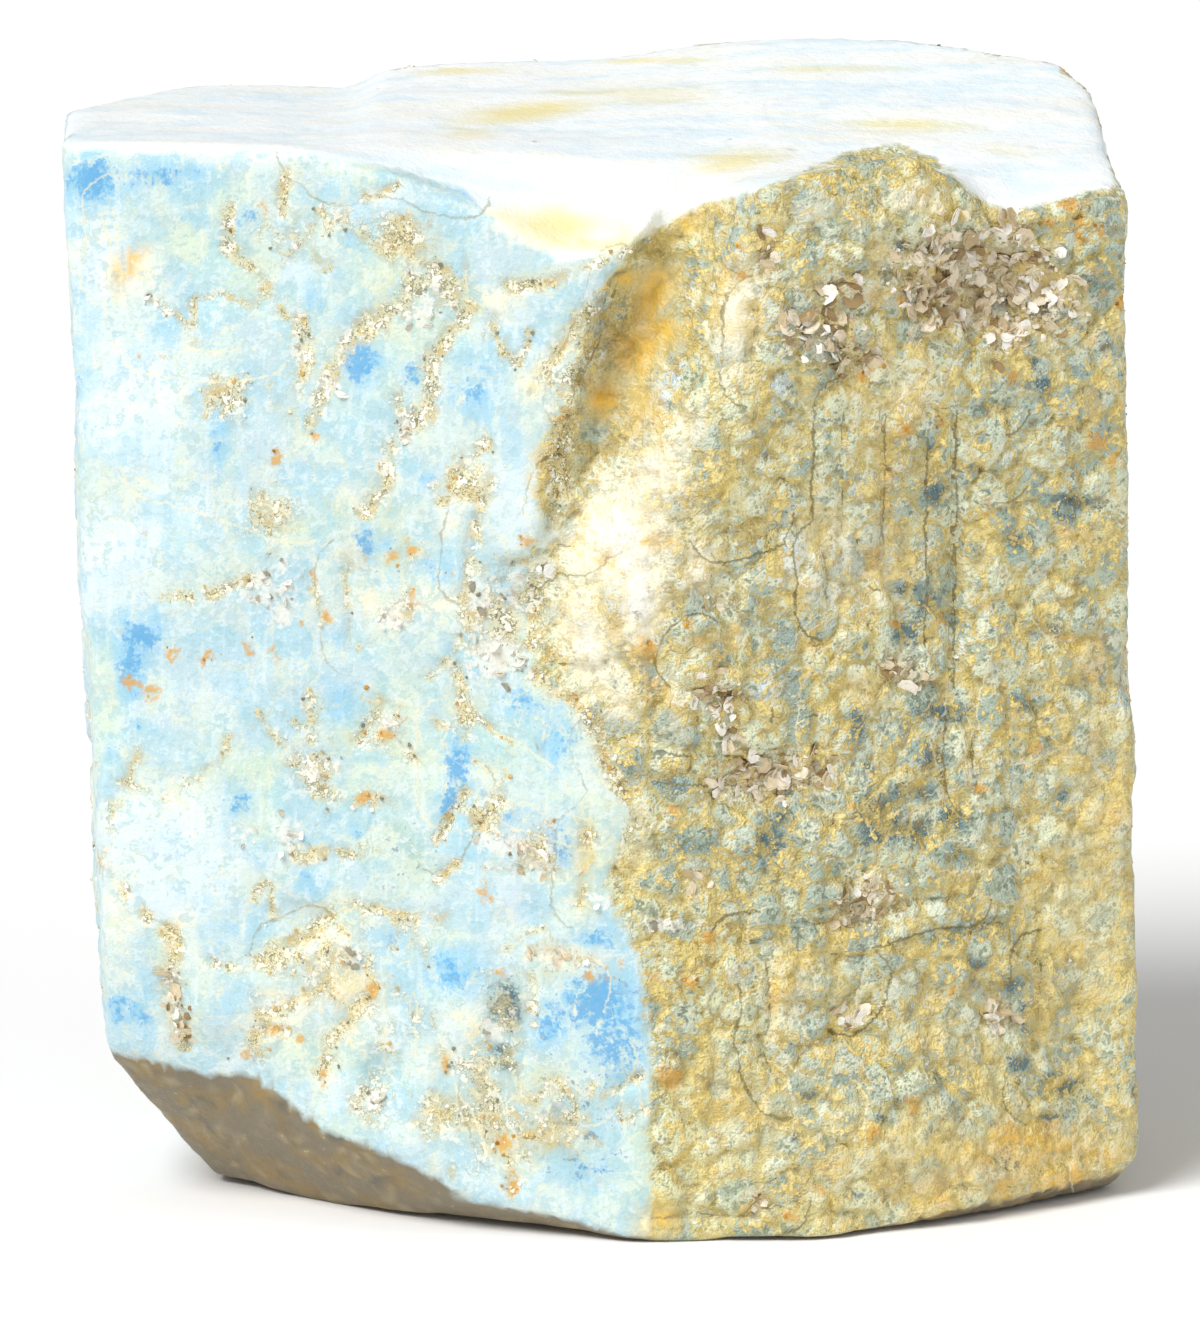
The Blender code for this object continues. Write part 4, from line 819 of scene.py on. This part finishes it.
detailCoats = (
    ("plateTone", "grain", 0.4, 0.14, 0.20, 0.38, "#9fd3e6", "left"),
    ("plateTone", "grain", 0.4, -0.16, -0.22, 0.35, "#eaf0d4", "left"),
    ("plateEdge", "grain", 0.7, 0.18, 0.04, 0.45, "#f3efcf", "left"),
    ("chipTone", "grain", 0.5, 0.72, 0.80, 0.35, "#a9ccd0", "left"),
    ("striae", "patch", 0.9, 0.62, 0.76, 0.2, "#f1f9fb", "left"),
    ("grain", "chipTone", 0.3, 0.58, 0.66, 0.35, "#f6faf6", "left"),
    ("grain", "chipTone", 0.3, 0.42, 0.34, 0.5, "#9fc8d2", "left"),
    ("plateTone", "grain", 0.5, 0.14, 0.20, 0.4, "#e9eec6", "right"),
    ("plateTone", "grain", 0.5, -0.10, -0.16, 0.55, "#93aaa0", "right"),
    ("chipTone", "grain", 0.9, 0.76, 0.84, 0.45, "#748a88", "right"),
    ("chipTone", "grain", 0.9, 0.24, 0.16, 0.4, "#f8f6da", "right"),
    # Lighter on the grain's rises and darker olive in its hollows, where the bump follows the same grain:
    # partly the rock's own mottling, partly painted highlight and painted shade that sharpen the relief.
    ("grain", "patch", 0.5, 0.56, 0.64, 0.7, "#fbf9dc", "right"),
    ("grain", "patch", 0.5, 0.43, 0.35, 0.75, "#727d60", "right"),
    ("blue", "grain", 1.4, 0.62, 0.90, 0.85, "#58a6d8", None),
    ("teal", "grain", 1.7, 0.56, 0.86, 0.9, "#456570", None),
    ("stain", "grain", 3.0, 0.95, 1.45, 0.5, "#d69c22", None),
    ("crust", "grain", 1.2, 0.58, 0.64, 0.8, "#d3ae46", "right"),
    ("crust", "grain", 1.8, 0.68, 0.78, 0.8, "#f3e498", "right"),
    # Dark ochre-brown at the chips' rims: partly iron stain, partly painted shade in the crevices between
    # the chips.
    ("chipRim", "grain", 0.9, 0.66, 0.90, 0.6, "#8f7636", "right"),
    ("plateEdge", "grain", 0.9, 0.24, 0.06, 0.65, "#d9c067", "right"),
    ("granular", "grain", 2.2, 0.40, 0.70, 0.5, "#e6d8a4", None),
    ("grain", "chipTone", 0.25, 0.38, 0.32, 0.75, "#d2aa50", "granular"),
    ("grain", "chipTone", 0.25, 0.56, 0.64, 0.8, "#fdfcf4", "granular"),
    ("lace", "chipTone", 0.6, 0.25, 0.60, 0.85, "#77754f", "granular"),
    ("silver", "grain", 2.0, 0.46, 0.76, 0.7, "#efeee4", None),
    # Brown between the mica flakes: partly the nest's own colour, partly painted shade under and between
    # the flakes.
    ("mica", "grain", 2.0, 0.64, 0.94, 0.35, "#a8926a", None),
    ("threadLine", "grain", 0.8, 0.3, 0.9, 0.65, "#f0e7c4", None),
    ("crackLine", "patch", 1.6, 0.6, 1.0, 0.5, "#95854e", None),
    ("crackLine", "patch", 1.2, 0.5, 0.9, 0.65, "#6d6434", "right"),
    ("rust", "grain", 1.8, 0.44, 0.85, 0.85, "#d8a54a", None),
)


def layCoats(tree, base, coats, fields):
    add = functools.partial(addNode, tree)
    colour = base
    for name, breaker, amount, low, high, strength, tint, within in coats:
        field = fields[name]
        if breaker:
            middle = add("ShaderNodeMath", "SUBTRACT", (fields[breaker], 0.5))
            field = add("ShaderNodeMath", "MULTIPLY_ADD", (middle, amount, field))
        ends = {1: low, 2: high, 3: 0.0, 4: strength}
        if low > high:
            ends = {1: high, 2: low, 3: strength, 4: 0.0}
        mask = add("ShaderNodeMapRange", None, {0: field, **ends})
        if within:
            mask = add("ShaderNodeMath", "MULTIPLY", (mask, fields[within]))
        mixed = add("ShaderNodeMix", {"data_type": "RGBA"},
                    {"Factor": mask, "A": colour, "B": hexToLinear(tint)})
        colour = mixed.outputs[2]
    return colour


# How the grounds meet on the rock.
meeting = {
    "zone": (0.3, 0.7),          # the top and the underside fade in over this part of their field
    "sides": (0.7, 1.1),         # the same for the right face, and how much the soft patches break it up
    "sidesBroken": 0.8,
    "nest": (1.08, 1.55),        # the same for crumbly nests
    "nestBroken": 1.5,
    "nestOnRight": 0.1,
    "bright": (0.3, 0.9),        # cream and ochre patches take less of the right face's detail
    "brightKeeps": 0.25,
    "nearLine": (0.3, 0.55),     # a line's distance counts where its field is above this
    "lineOff": 2.0,              # mm added where it isn't
}


def groundTree(material):
    # Lays the ground colours on the mesh, and keeps there the fields that the fine detail needs.
    tree, values = newTree("ground colours", {"bendSize": 4.0, "bendReach": 2.6, "lineWander": 0.9})
    add = functools.partial(addNode, tree)
    given = add("NodeGroupInput")
    place = add("ShaderNodeVectorMath", "SCALE", {0: add("GeometryNodeInputPosition"), "Scale": 1.0 / mm})
    perBend = add("ShaderNodeMath", "DIVIDE", (1.0, given.outputs["bendSize"]))
    push = add("ShaderNodeTexNoise", None, {"Vector": place, "Scale": perBend, "Detail": 2.0})
    middle = add("ShaderNodeVectorMath", "SUBTRACT", (push.outputs["Color"], (0.5, 0.5, 0.5)))
    push = add("ShaderNodeVectorMath", "SCALE", {0: middle, "Scale": given.outputs["bendReach"]})
    bent = add("ShaderNodeVectorMath", "ADD", (place, push))

    masks = ("top", "under", "side", "blue", "milky", "cream", "peach", "stain", "teal", "mica", "silver",
             "nest", "rust", "yellow", "seam", "haze", "crack", "thread", "crackSide", "threadSide")
    fields = {name: add("GeometryNodeInputNamedAttribute", {"data_type": "FLOAT"},
                        {"Name": name}).outputs[0] for name in masks}
    for count, (name, sizes, detail) in enumerate(rockFields):
        shrink = tuple(1.0 / size for size in sizes)
        offset = (17.0 * count, 5.0 * count, 31.0 * count)
        laid = add("ShaderNodeVectorMath", "MULTIPLY_ADD", (bent, shrink, offset))
        fields[name] = add("ShaderNodeTexNoise", None, {"Vector": laid, "Scale": 1.0, "Detail": detail,
                           "Roughness": 0.6}).outputs[0]

    ends = add("ShaderNodeMath", "ADD", (fields["top"], fields["under"]))
    body = add("ShaderNodeMapRange", None, (ends, *meeting["zone"], 1.0, 0.0)).outputs[0]
    ragged = add("ShaderNodeMath", "MULTIPLY_ADD",
                 (fields["patch"], meeting["sidesBroken"], fields["side"]))
    sideMask = add("ShaderNodeMapRange", None, (ragged, *meeting["sides"])).outputs[0]
    left = layCoats(tree, hexToLinear("#c3d9de"), leftCoats, fields)
    right = layCoats(tree, hexToLinear("#d3dcc1"), rightCoats, fields)
    ground = add("ShaderNodeMix", {"data_type": "RGBA"},
                 {"Factor": sideMask, "A": left, "B": right}).outputs[2]
    ground = layCoats(tree, ground, sharedCoats, fields)
    upper = layCoats(tree, hexToLinear("#fbffff"), topCoats, fields)
    # The underside's colours: a dark grey-brown ground that is painted shade, with its coats.
    lower = layCoats(tree, hexToLinear("#7f745e"), underShadeCoats, fields)
    for mask, other in (("top", upper), ("under", lower)):
        edge = add("ShaderNodeMapRange", None, (fields[mask], *meeting["zone"]))
        ground = add("ShaderNodeMix", {"data_type": "RGBA"},
                     {"Factor": edge, "A": ground, "B": other}).outputs[2]

    kept = {"patch": fields["patch"]}
    kept["right"] = add("ShaderNodeMath", "MULTIPLY", (sideMask, body)).outputs[0]
    kept["left"] = add("ShaderNodeMath", "SUBTRACT", (body, kept["right"])).outputs[0]
    bright = add("ShaderNodeMath", "MAXIMUM", (fields["cream"], fields["stain"]))
    spared = add("ShaderNodeMapRange", None,
                 (bright, *meeting["bright"], 1.0, meeting["brightKeeps"]))
    kept["right"] = add("ShaderNodeMath", "MULTIPLY", (kept["right"], spared)).outputs[0]
    for name in ("blue", "teal", "stain", "silver", "mica", "rust"):
        kept[name] = add("ShaderNodeMath", "MULTIPLY", (fields[name], body)).outputs[0]
    kept["vein"] = fields["vein"]
    together = add("ShaderNodeMath", "MAXIMUM", (fields["seam"], fields["nest"]))
    onRight = add("ShaderNodeMath", "MULTIPLY_ADD", (sideMask, meeting["nestOnRight"], together))
    ragged = add("ShaderNodeMath", "MULTIPLY_ADD", (fields["crumb"], meeting["nestBroken"], onRight))
    granular = add("ShaderNodeMapRange", None, (ragged, *meeting["nest"]))
    kept["granular"] = add("ShaderNodeMath", "MULTIPLY", (granular, body)).outputs[0]
    # How far, in mm, the nearest placed line runs: far off wherever no line is near.
    for name in ("thread", "crack"):
        soft = add("ShaderNodeMath", "SUBTRACT", (fields["patch"], 0.5))
        off = add("ShaderNodeMath", "MULTIPLY_ADD",
                  (soft, given.outputs["lineWander"], fields[name + "Side"]))
        far = add("ShaderNodeMapRange", None,
                  (fields[name], *meeting["nearLine"], meeting["lineOff"], 0.0))
        kept[name + "Off"] = add("ShaderNodeMath", "ADD", (off, far)).outputs[0]

    geometry = add("GeometryNodeStoreNamedAttribute", {"data_type": "FLOAT_COLOR", "domain": "POINT"},
                   {"Geometry": given.outputs["Geometry"], "Name": "ground", "Value": ground})
    for name, value in kept.items():
        geometry = add("GeometryNodeStoreNamedAttribute", {"data_type": "FLOAT", "domain": "POINT"},
                       {"Geometry": geometry.outputs["Geometry"], "Name": name, "Value": value})
    dressed = add("GeometryNodeSetMaterial", None,
                  {"Geometry": geometry.outputs["Geometry"], "Material": material})
    add("NodeGroupOutput", None, {"Geometry": dressed})
    return tree, values


# Massive beryl: waxy, with a low gloss that catches the edges of its broken plates.
beryl = {
    "grainSize": 0.6,                      # mm
    "chipSize": 0.95,
    "chipPush": 0.8,                       # mm that the grain pushes the chips' rims about
    "striaeShrink": (2.6, 2.6, 0.22),      # upright lines, 5 mm long
    "bumpHeight": 0.45,                    # mm
    "bumpLeft": 0.3,
    "bumpRight": 1.0,
    "gloss": (0.62, 0.36),                 # roughness in the hollows and on the rises of the grain
    "ior": 1.57,
}
# A line runs where its field, pushed about by the grain, passes this middle. Each row: line, field,
# middle, push, width.
drawnLines = (
    ("veinLine", "vein", 0.5, 0.07, 0.028),
    ("threadLine", "threadOff", 0.0, 0.6, 0.16),
    ("crackLine", "crackOff", 0.0, 0.6, 0.24),
)


def berylMaterial():
    material = bpy.data.materials.new("massive beryl, iron stained")
    material.use_nodes = True
    tree = material.node_tree
    add = functools.partial(addNode, tree)
    shader = tree.nodes["Principled BSDF"]
    place = add("ShaderNodeVectorMath", "SCALE",
                {0: add("ShaderNodeTexCoord").outputs["Object"], "Scale": 1.0 / mm})

    kept = ("left", "right", "patch", "blue", "teal", "stain", "silver", "mica", "rust", "granular",
            "vein", "plateTone", "plateEdge", "threadOff", "crackOff")
    fields = {name: add("ShaderNodeAttribute", {"attribute_name": name}).outputs["Fac"] for name in kept}
    ground = add("ShaderNodeAttribute", {"attribute_name": "ground"}).outputs["Color"]
    fields["grain"] = add("ShaderNodeTexNoise", None,
                          {"Vector": place, "Scale": 1.0 / beryl["grainSize"], "Detail": 2.0,
                           "Roughness": 0.8}).outputs[0]
    upright = add("ShaderNodeVectorMath", "MULTIPLY", (place, beryl["striaeShrink"]))
    fields["striae"] = add("ShaderNodeTexNoise", None,
                           {"Vector": upright, "Scale": 1.0, "Detail": 0.0}).outputs[0]
    wobble = add("ShaderNodeMath", "SUBTRACT", (fields["grain"], 0.5))

    for name, field, middle, push, width in drawnLines:
        pushed = add("ShaderNodeMath", "MULTIPLY_ADD", (wobble, push, fields[field]))
        away = add("ShaderNodeMath", "SUBTRACT", (pushed, middle))
        away = add("ShaderNodeMath", "ABSOLUTE", (away,))
        line = add("ShaderNodeMapRange", None, (away, 0.0, width, 1.0, 0.0))
        fields[name] = line.outputs[0]
    # Chips about a millimetre across, each with its own tone, and the rim between them.
    push = add("ShaderNodeMath", "MULTIPLY", (wobble, beryl["chipPush"]))
    pushed = add("ShaderNodeVectorMath", "ADD", (place, push))
    chips = add("ShaderNodeTexVoronoi", None, {"Vector": pushed, "Scale": 1.0 / beryl["chipSize"]})
    chipTones = add("ShaderNodeSeparateColor", None, (chips.outputs["Color"],))
    fields["chipTone"] = chipTones.outputs[0]
    fields["chipRim"] = chips.outputs["Distance"]
    # Ochre crust: in patches, along the veins, and on some chips more than on others.
    crust = add("ShaderNodeMath", "MULTIPLY_ADD", (fields["veinLine"], 0.16, fields["patch"]))
    tint = add("ShaderNodeMath", "SUBTRACT", (chipTones.outputs[1], 0.5))
    crust = add("ShaderNodeMath", "MULTIPLY_ADD", (tint, 0.22, crust))
    fields["crust"] = crust.outputs[0]
    # Dark lace: thin lines where the grain is halfway.
    halfway = add("ShaderNodeMath", "ABSOLUTE", (wobble,))
    fields["lace"] = add("ShaderNodeMapRange", None, (halfway, 0.0, 0.045, 1.0, 0.0)).outputs[0]

    colour = layCoats(tree, ground, detailCoats, fields)
    hackly = add("ShaderNodeMapRange", None,
                 (fields["right"], 0.0, 1.0, beryl["bumpLeft"], beryl["bumpRight"]))
    bump = add("ShaderNodeBump", None,
               {"Strength": hackly, "Distance": beryl["bumpHeight"] * mm, "Height": fields["grain"]})
    roughness = add("ShaderNodeMapRange", None,
                    (fields["grain"], 0.3, 0.7, beryl["gloss"][0], beryl["gloss"][1]))
    tree.links.new(colour, shader.inputs["Base Color"])
    tree.links.new(roughness.outputs[0], shader.inputs["Roughness"])
    tree.links.new(bump.outputs[0], shader.inputs["Normal"])
    shader.inputs["IOR"].default_value = beryl["ior"]
    return material


# What grew in the rock and on it, scattered by the fields on the skin. "above" is how much of its field
# a growth needs, and "inputs" are what its tree takes: sizes in mm, turns in radians.
def flakeBook(tree):
    # A little book of three sheets of mica, each turned and set off from the one below.
    add = functools.partial(addNode, tree)
    sheets = []
    for radius, height, off, turn in (
        (1.0, 0.0, 0.0, 0.0), (0.86, 0.30, 0.14, 0.5), (0.62, 0.58, -0.12, 1.3),
    ):
        sheet = add("GeometryNodeMeshCylinder", None, {"Vertices": 7, "Radius": radius, "Depth": 0.3})
        sheets.append(add("GeometryNodeTransform", None,
                          {"Geometry": sheet, "Translation": (off, 0.5 * off, height),
                           "Rotation": (0.0, 0.0, turn)}))
    return sheets


def roundGrain(tree):
    return [addNode(tree, "GeometryNodeMeshIcoSphere", None, {"Radius": 1.0, "Subdivisions": 1})]


def shard(tree):
    return [addNode(tree, "GeometryNodeMeshCone", None,
                    {"Vertices": 5, "Radius Top": 0.35, "Radius Bottom": 1.0, "Depth": 1.4})]


# Muscovite: silvery sheets that flash where they lie toward the light.
micaFlakes = {
    "field": "mica",
    "above": 0.62,
    "shape": flakeBook,
    "inputs": {"perSquareMm": 5.0, "least": 0.12, "most": 0.8, "fewLarge": 2.6, "thin": 0.12,
               "tilt": 0.85, "sink": 0.05, "ragged": 0.2, "seed": 4},
    "material": "muscovite",
    "tones": ((0.0, "#efe3cb"), (0.25, "#fdf9ef"), (0.50, "#e2d1b0"), (0.74, "#ccb790"),
              (0.91, "#a08558")),
    "roughness": (0.22, 0.42),
    "grain": 0.5,
    "bump": 0.3,
}
# The same mica, bleached: paler and greyer, in smaller flecks.
silverFlecks = {
    "field": "silver",
    "above": 0.66,
    "shape": flakeBook,
    "inputs": {"perSquareMm": 3.2, "least": 0.1, "most": 0.55, "fewLarge": 2.0, "thin": 0.14, "tilt": 1.0,
               "sink": 0.03, "ragged": 0.16, "seed": 9},
    "material": "bleached muscovite",
    "tones": ((0.0, "#e6e3d8"), (0.35, "#f6f5ef"), (0.6, "#cdc7b4"), (0.82, "#a09a84")),
    "roughness": (0.22, 0.45),
    "grain": 0.4,
    "bump": 0.3,
}
# Limonite: dull rusty grains.
rustGrains = {
    "field": "rust",
    "above": 0.86,
    "shape": roundGrain,
    "inputs": {"perSquareMm": 3.0, "least": 0.07, "most": 0.24, "fewLarge": 1.8, "thin": 0.7, "tilt": 1.5,
               "sink": 0.06, "ragged": 0.16, "seed": 21},
    "material": "limonite",
    "tones": ((0.0, "#d9a446"), (0.4, "#c08a32"), (0.8, "#976a26")),
    "roughness": (0.7, 0.9),
    "grain": 0.2,
    "bump": 0.8,
}
# Broken beryl and feldspar in the seams: pale, dull, with a few ochre grains.
seamCrumbs = {
    "field": "granular",
    "above": 0.5,
    "shape": shard,
    "inputs": {"perSquareMm": 3.1, "least": 0.05, "most": 0.22, "fewLarge": 2.6, "thin": 0.8, "tilt": 1.5,
               "sink": 0.05, "ragged": 0.1, "seed": 33},
    "material": "crumbled feldspar",
    "tones": ((0.0, "#f3ecd2"), (0.3, "#fdfcf5"), (0.55, "#ecd593"), (0.74, "#d3a758"),
              (0.87, "#84836f")),
    "roughness": (0.5, 0.8),
    "grain": 0.2,
    "bump": 0.6,
}


# What all growths share.
growing = {
    "brokenUp": 0.6,             # how much the rock's soft patches break a nest up
    "fadeIn": 0.45,              # from bare rock to the full number
    "narrowest": 0.55,           # the narrowest piece's width against its length
    "shakePerMm": 3.1,           # features per mm in the field that roughens the pieces
    "toneEdge": 0.06,
    "darkGrain": (0.5, 0.75),    # where the grain takes the darkest tone, and how much of it
    "darkShare": 0.35,
    "bumpHeight": 0.08,          # mm
    "offFloor": 0.02,            # mm
}


def scatterTree(name, growth, material):
    tree, values = newTree(name, growth["inputs"])
    add = functools.partial(addNode, tree)
    given = add("NodeGroupInput")
    here = add("GeometryNodeInputNamedAttribute", {"data_type": "FLOAT"}, {"Name": growth["field"]})
    patch = add("GeometryNodeInputNamedAttribute", {"data_type": "FLOAT"}, {"Name": "patch"})
    ragged = add("ShaderNodeMath", "MULTIPLY_ADD", (patch, growing["brokenUp"], here.outputs[0]))
    full = growth["above"] + growing["fadeIn"]
    share = add("ShaderNodeMapRange", None, (ragged, growth["above"], full))
    perSquareMetre = add("ShaderNodeMath", "MULTIPLY", (given.outputs["perSquareMm"], 1e6))
    density = add("ShaderNodeMath", "MULTIPLY", (share, perSquareMetre))
    spread = add("GeometryNodeDistributePointsOnFaces", {"distribute_method": "RANDOM"},
                 {"Mesh": given.outputs["Geometry"], "Density": density, "Seed": given.outputs["seed"]})

    tilt = given.outputs["tilt"]
    least = add("ShaderNodeMath", "MULTIPLY", (tilt, -1.0))
    low = add("ShaderNodeCombineXYZ", None, (least, least, 0.0))
    high = add("ShaderNodeCombineXYZ", None, (tilt, tilt, 6.28))
    turn = add("FunctionNodeRandomValue", {"data_type": "FLOAT_VECTOR"},
               {"Min": low, "Max": high, "Seed": 1})
    turned = add("FunctionNodeRotateRotation", {"rotation_space": "LOCAL"},
                 {"Rotation": spread.outputs["Rotation"], "Rotate By": turn})
    lot = add("FunctionNodeRandomValue", {"data_type": "FLOAT"}, {"Min": 0.0, "Max": 1.0, "Seed": 2})
    skewed = add("ShaderNodeMath", "POWER", (lot, given.outputs["fewLarge"]))
    size = add("ShaderNodeMapRange", None,
               (skewed, 0.0, 1.0, given.outputs["least"], given.outputs["most"]))
    thickness = add("ShaderNodeMath", "MULTIPLY", (size, given.outputs["thin"]))
    stretch = add("FunctionNodeRandomValue", {"data_type": "FLOAT"},
                  {"Min": growing["narrowest"], "Max": 1.0, "Seed": 5})
    narrow = add("ShaderNodeMath", "MULTIPLY", (size, stretch))
    scale = add("ShaderNodeCombineXYZ", None, (size, narrow, thickness))
    scale = add("ShaderNodeVectorMath", "SCALE", {0: scale, "Scale": mm})

    shape = add("GeometryNodeJoinGeometry")
    for part in growth["shape"](tree):
        tree.links.new(part.outputs[0], shape.inputs[0])
    grown = add("GeometryNodeInstanceOnPoints", None,
                {"Points": spread.outputs["Points"], "Instance": shape, "Rotation": turned,
                 "Scale": scale})
    sinkBy = add("ShaderNodeMath", "MULTIPLY", (given.outputs["sink"], -mm))
    inward = add("ShaderNodeCombineXYZ", None, {2: sinkBy})
    sunk = add("GeometryNodeTranslateInstances", None, {"Instances": grown, "Translation": inward})
    tone = add("FunctionNodeRandomValue", {"data_type": "FLOAT"}, {"Min": 0.0, "Max": 1.0, "Seed": 7})
    toned = add("GeometryNodeStoreNamedAttribute", {"data_type": "FLOAT", "domain": "INSTANCE"},
                {"Geometry": sunk, "Name": "tone", "Value": tone})
    real = add("GeometryNodeRealizeInstances", None, (toned,))
    place = add("ShaderNodeVectorMath", "SCALE", {0: add("GeometryNodeInputPosition"), "Scale": 1.0 / mm})
    shake = add("ShaderNodeTexNoise", None,
                {"Vector": place, "Scale": growing["shakePerMm"], "Detail": 1.0})
    shake = add("ShaderNodeVectorMath", "SUBTRACT", (shake.outputs["Color"], (0.5, 0.5, 0.5)))
    reach = add("ShaderNodeMath", "MULTIPLY", (given.outputs["ragged"], 2.0 * mm))
    shake = add("ShaderNodeVectorMath", "SCALE", {0: shake, "Scale": reach})
    moved = add("GeometryNodeSetPosition", None, {"Geometry": real, "Offset": shake})
    dressed = add("GeometryNodeSetMaterial", None, {"Geometry": moved, "Material": material})
    add("NodeGroupOutput", None, {"Geometry": dressed})
    return tree, values


def scatter(skinMesh, name, growth):
    tree, settings = scatterTree(name, growth, grainMaterial(growth))
    mesh = modified(skinMesh, name, "NODES", {"node_group": tree, **settings})
    kept = ("tone", "position", "sharp_face", "material_index")
    for layer in [item.name for item in mesh.attributes]:
        if layer not in kept and not layer.startswith("."):
            mesh.attributes.remove(mesh.attributes[layer])
    points, _, _ = meshArrays(mesh)
    points[:, 2] = np.maximum(points[:, 2], growing["offFloor"] * mm)
    mesh.vertices.foreach_set("co", points.ravel())
    mesh.update()
    piece = bpy.data.objects.new(name, mesh)
    bpy.context.scene.collection.objects.link(piece)
    print(name, sum(len(face.vertices) - 2 for face in mesh.polygons), "triangles")
    return piece


def grainMaterial(growth):
    # Colours picked by each piece's own tone, each with a fine grain.
    tones = growth["tones"]
    material = bpy.data.materials.new(growth["material"])
    material.use_nodes = True
    tree = material.node_tree
    add = functools.partial(addNode, tree)
    shader = tree.nodes["Principled BSDF"]
    place = add("ShaderNodeVectorMath", "SCALE",
                {0: add("ShaderNodeTexCoord").outputs["Object"], "Scale": 1.0 / mm})
    grain = add("ShaderNodeTexNoise", None,
                {"Vector": place, "Scale": 1.0 / growth["grain"], "Detail": 2.0})
    tone = add("ShaderNodeAttribute", {"attribute_name": "tone"}).outputs["Fac"]
    masks = [(add("ShaderNodeMapRange", None, (tone, start - growing["toneEdge"], start)), tint)
             for start, tint in tones[1:]]
    shade = add("ShaderNodeMapRange", None,
                (grain.outputs[0], *growing["darkGrain"], 0.0, growing["darkShare"]))
    masks.append((shade, tones[-1][1]))
    colour = hexToLinear(tones[0][1])
    for mask, tint in masks:
        mixed = add("ShaderNodeMix", {"data_type": "RGBA"},
                    {"Factor": mask, "A": colour, "B": hexToLinear(tint)})
        colour = mixed.outputs[2]
    low, high = growth["roughness"]
    roughness = add("ShaderNodeMapRange", None, (grain.outputs[0], 0.3, 0.7, low, high))
    bump = add("ShaderNodeBump", None,
               {"Strength": growth["bump"], "Distance": growing["bumpHeight"] * mm,
                "Height": grain.outputs[0]})
    tree.links.new(colour, shader.inputs["Base Color"])
    tree.links.new(roughness.outputs[0], shader.inputs["Roughness"])
    tree.links.new(bump.outputs[0], shader.inputs["Normal"])
    return material


# A plain pale floor, soft light from the upper left, and white air.
stage = {
    "floorSize": 4.0,
    "floorColour": "#fbfbfb",
    "airStrength": 0.36,
    "lights": {     # from where, strength, how wide the light is in degrees
        "key": ((-0.46, -0.46, 0.76), 2.65, 30.0),
        "fill": ((0.62, -0.62, 0.48), 0.45, 60.0),
    },
}


def makeStage():
    work = bmesh.new()
    bmesh.ops.create_grid(work, x_segments=2, y_segments=2, size=stage["floorSize"])
    mesh = bpy.data.meshes.new("floor")
    work.to_mesh(mesh)
    work.free()
    floor = bpy.data.objects.new("floor", mesh)
    bpy.context.scene.collection.objects.link(floor)
    material = bpy.data.materials.new("matt white paper")
    material.use_nodes = True
    shader = material.node_tree.nodes["Principled BSDF"]
    shader.inputs["Base Color"].default_value = hexToLinear(stage["floorColour"])
    shader.inputs["Roughness"].default_value = 0.95
    shader.inputs["Specular IOR Level"].default_value = 0.0
    mesh.materials.append(material)

    world = bpy.data.worlds.new("white air")
    world.use_nodes = True
    air = world.node_tree.nodes["Background"]
    air.inputs["Color"].default_value = (1.0, 1.0, 1.0, 1.0)
    air.inputs["Strength"].default_value = stage["airStrength"]
    bpy.context.scene.world = world

    for name, (where, strength, spread) in stage["lights"].items():
        data = bpy.data.lights.new(name, "SUN")
        data.energy = strength
        data.angle = math.radians(spread)
        light = bpy.data.objects.new(name, data)
        light.location = where
        light.rotation_euler = (-Vector(where)).to_track_quat("-Z", "Y").to_euler()
        bpy.context.scene.collection.objects.link(light)
    bpy.context.scene.view_settings.view_transform = "Standard"


def makeCamera():
    data = bpy.data.cameras.new("camera")
    data.sensor_width = view["sensor"]
    data.lens = view["focalPixels"] / max(view["imageWide"], view["imageHigh"]) * view["sensor"]
    camera = bpy.data.objects.new("camera", data)
    camera.location = viewAim - viewAhead * view["distance"]
    camera.rotation_euler = viewAhead.to_track_quat("-Z", "Y").to_euler()
    bpy.context.scene.collection.objects.link(camera)
    bpy.context.scene.camera = camera


makeCamera()
makeStage()
skinPiece = makeSkin()
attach(skinPiece, "root")
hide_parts("beryl_block")
print("skin dressed")

for name, look in (
    ("mica_flakes", micaFlakes), ("silver_flecks", silverFlecks), ("rust_grains", rustGrains),
    ("seam_crumbs", seamCrumbs),
):
    growth = scatter(skinPiece.data, name, look)
    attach(growth, "root")
print("growths dressed")
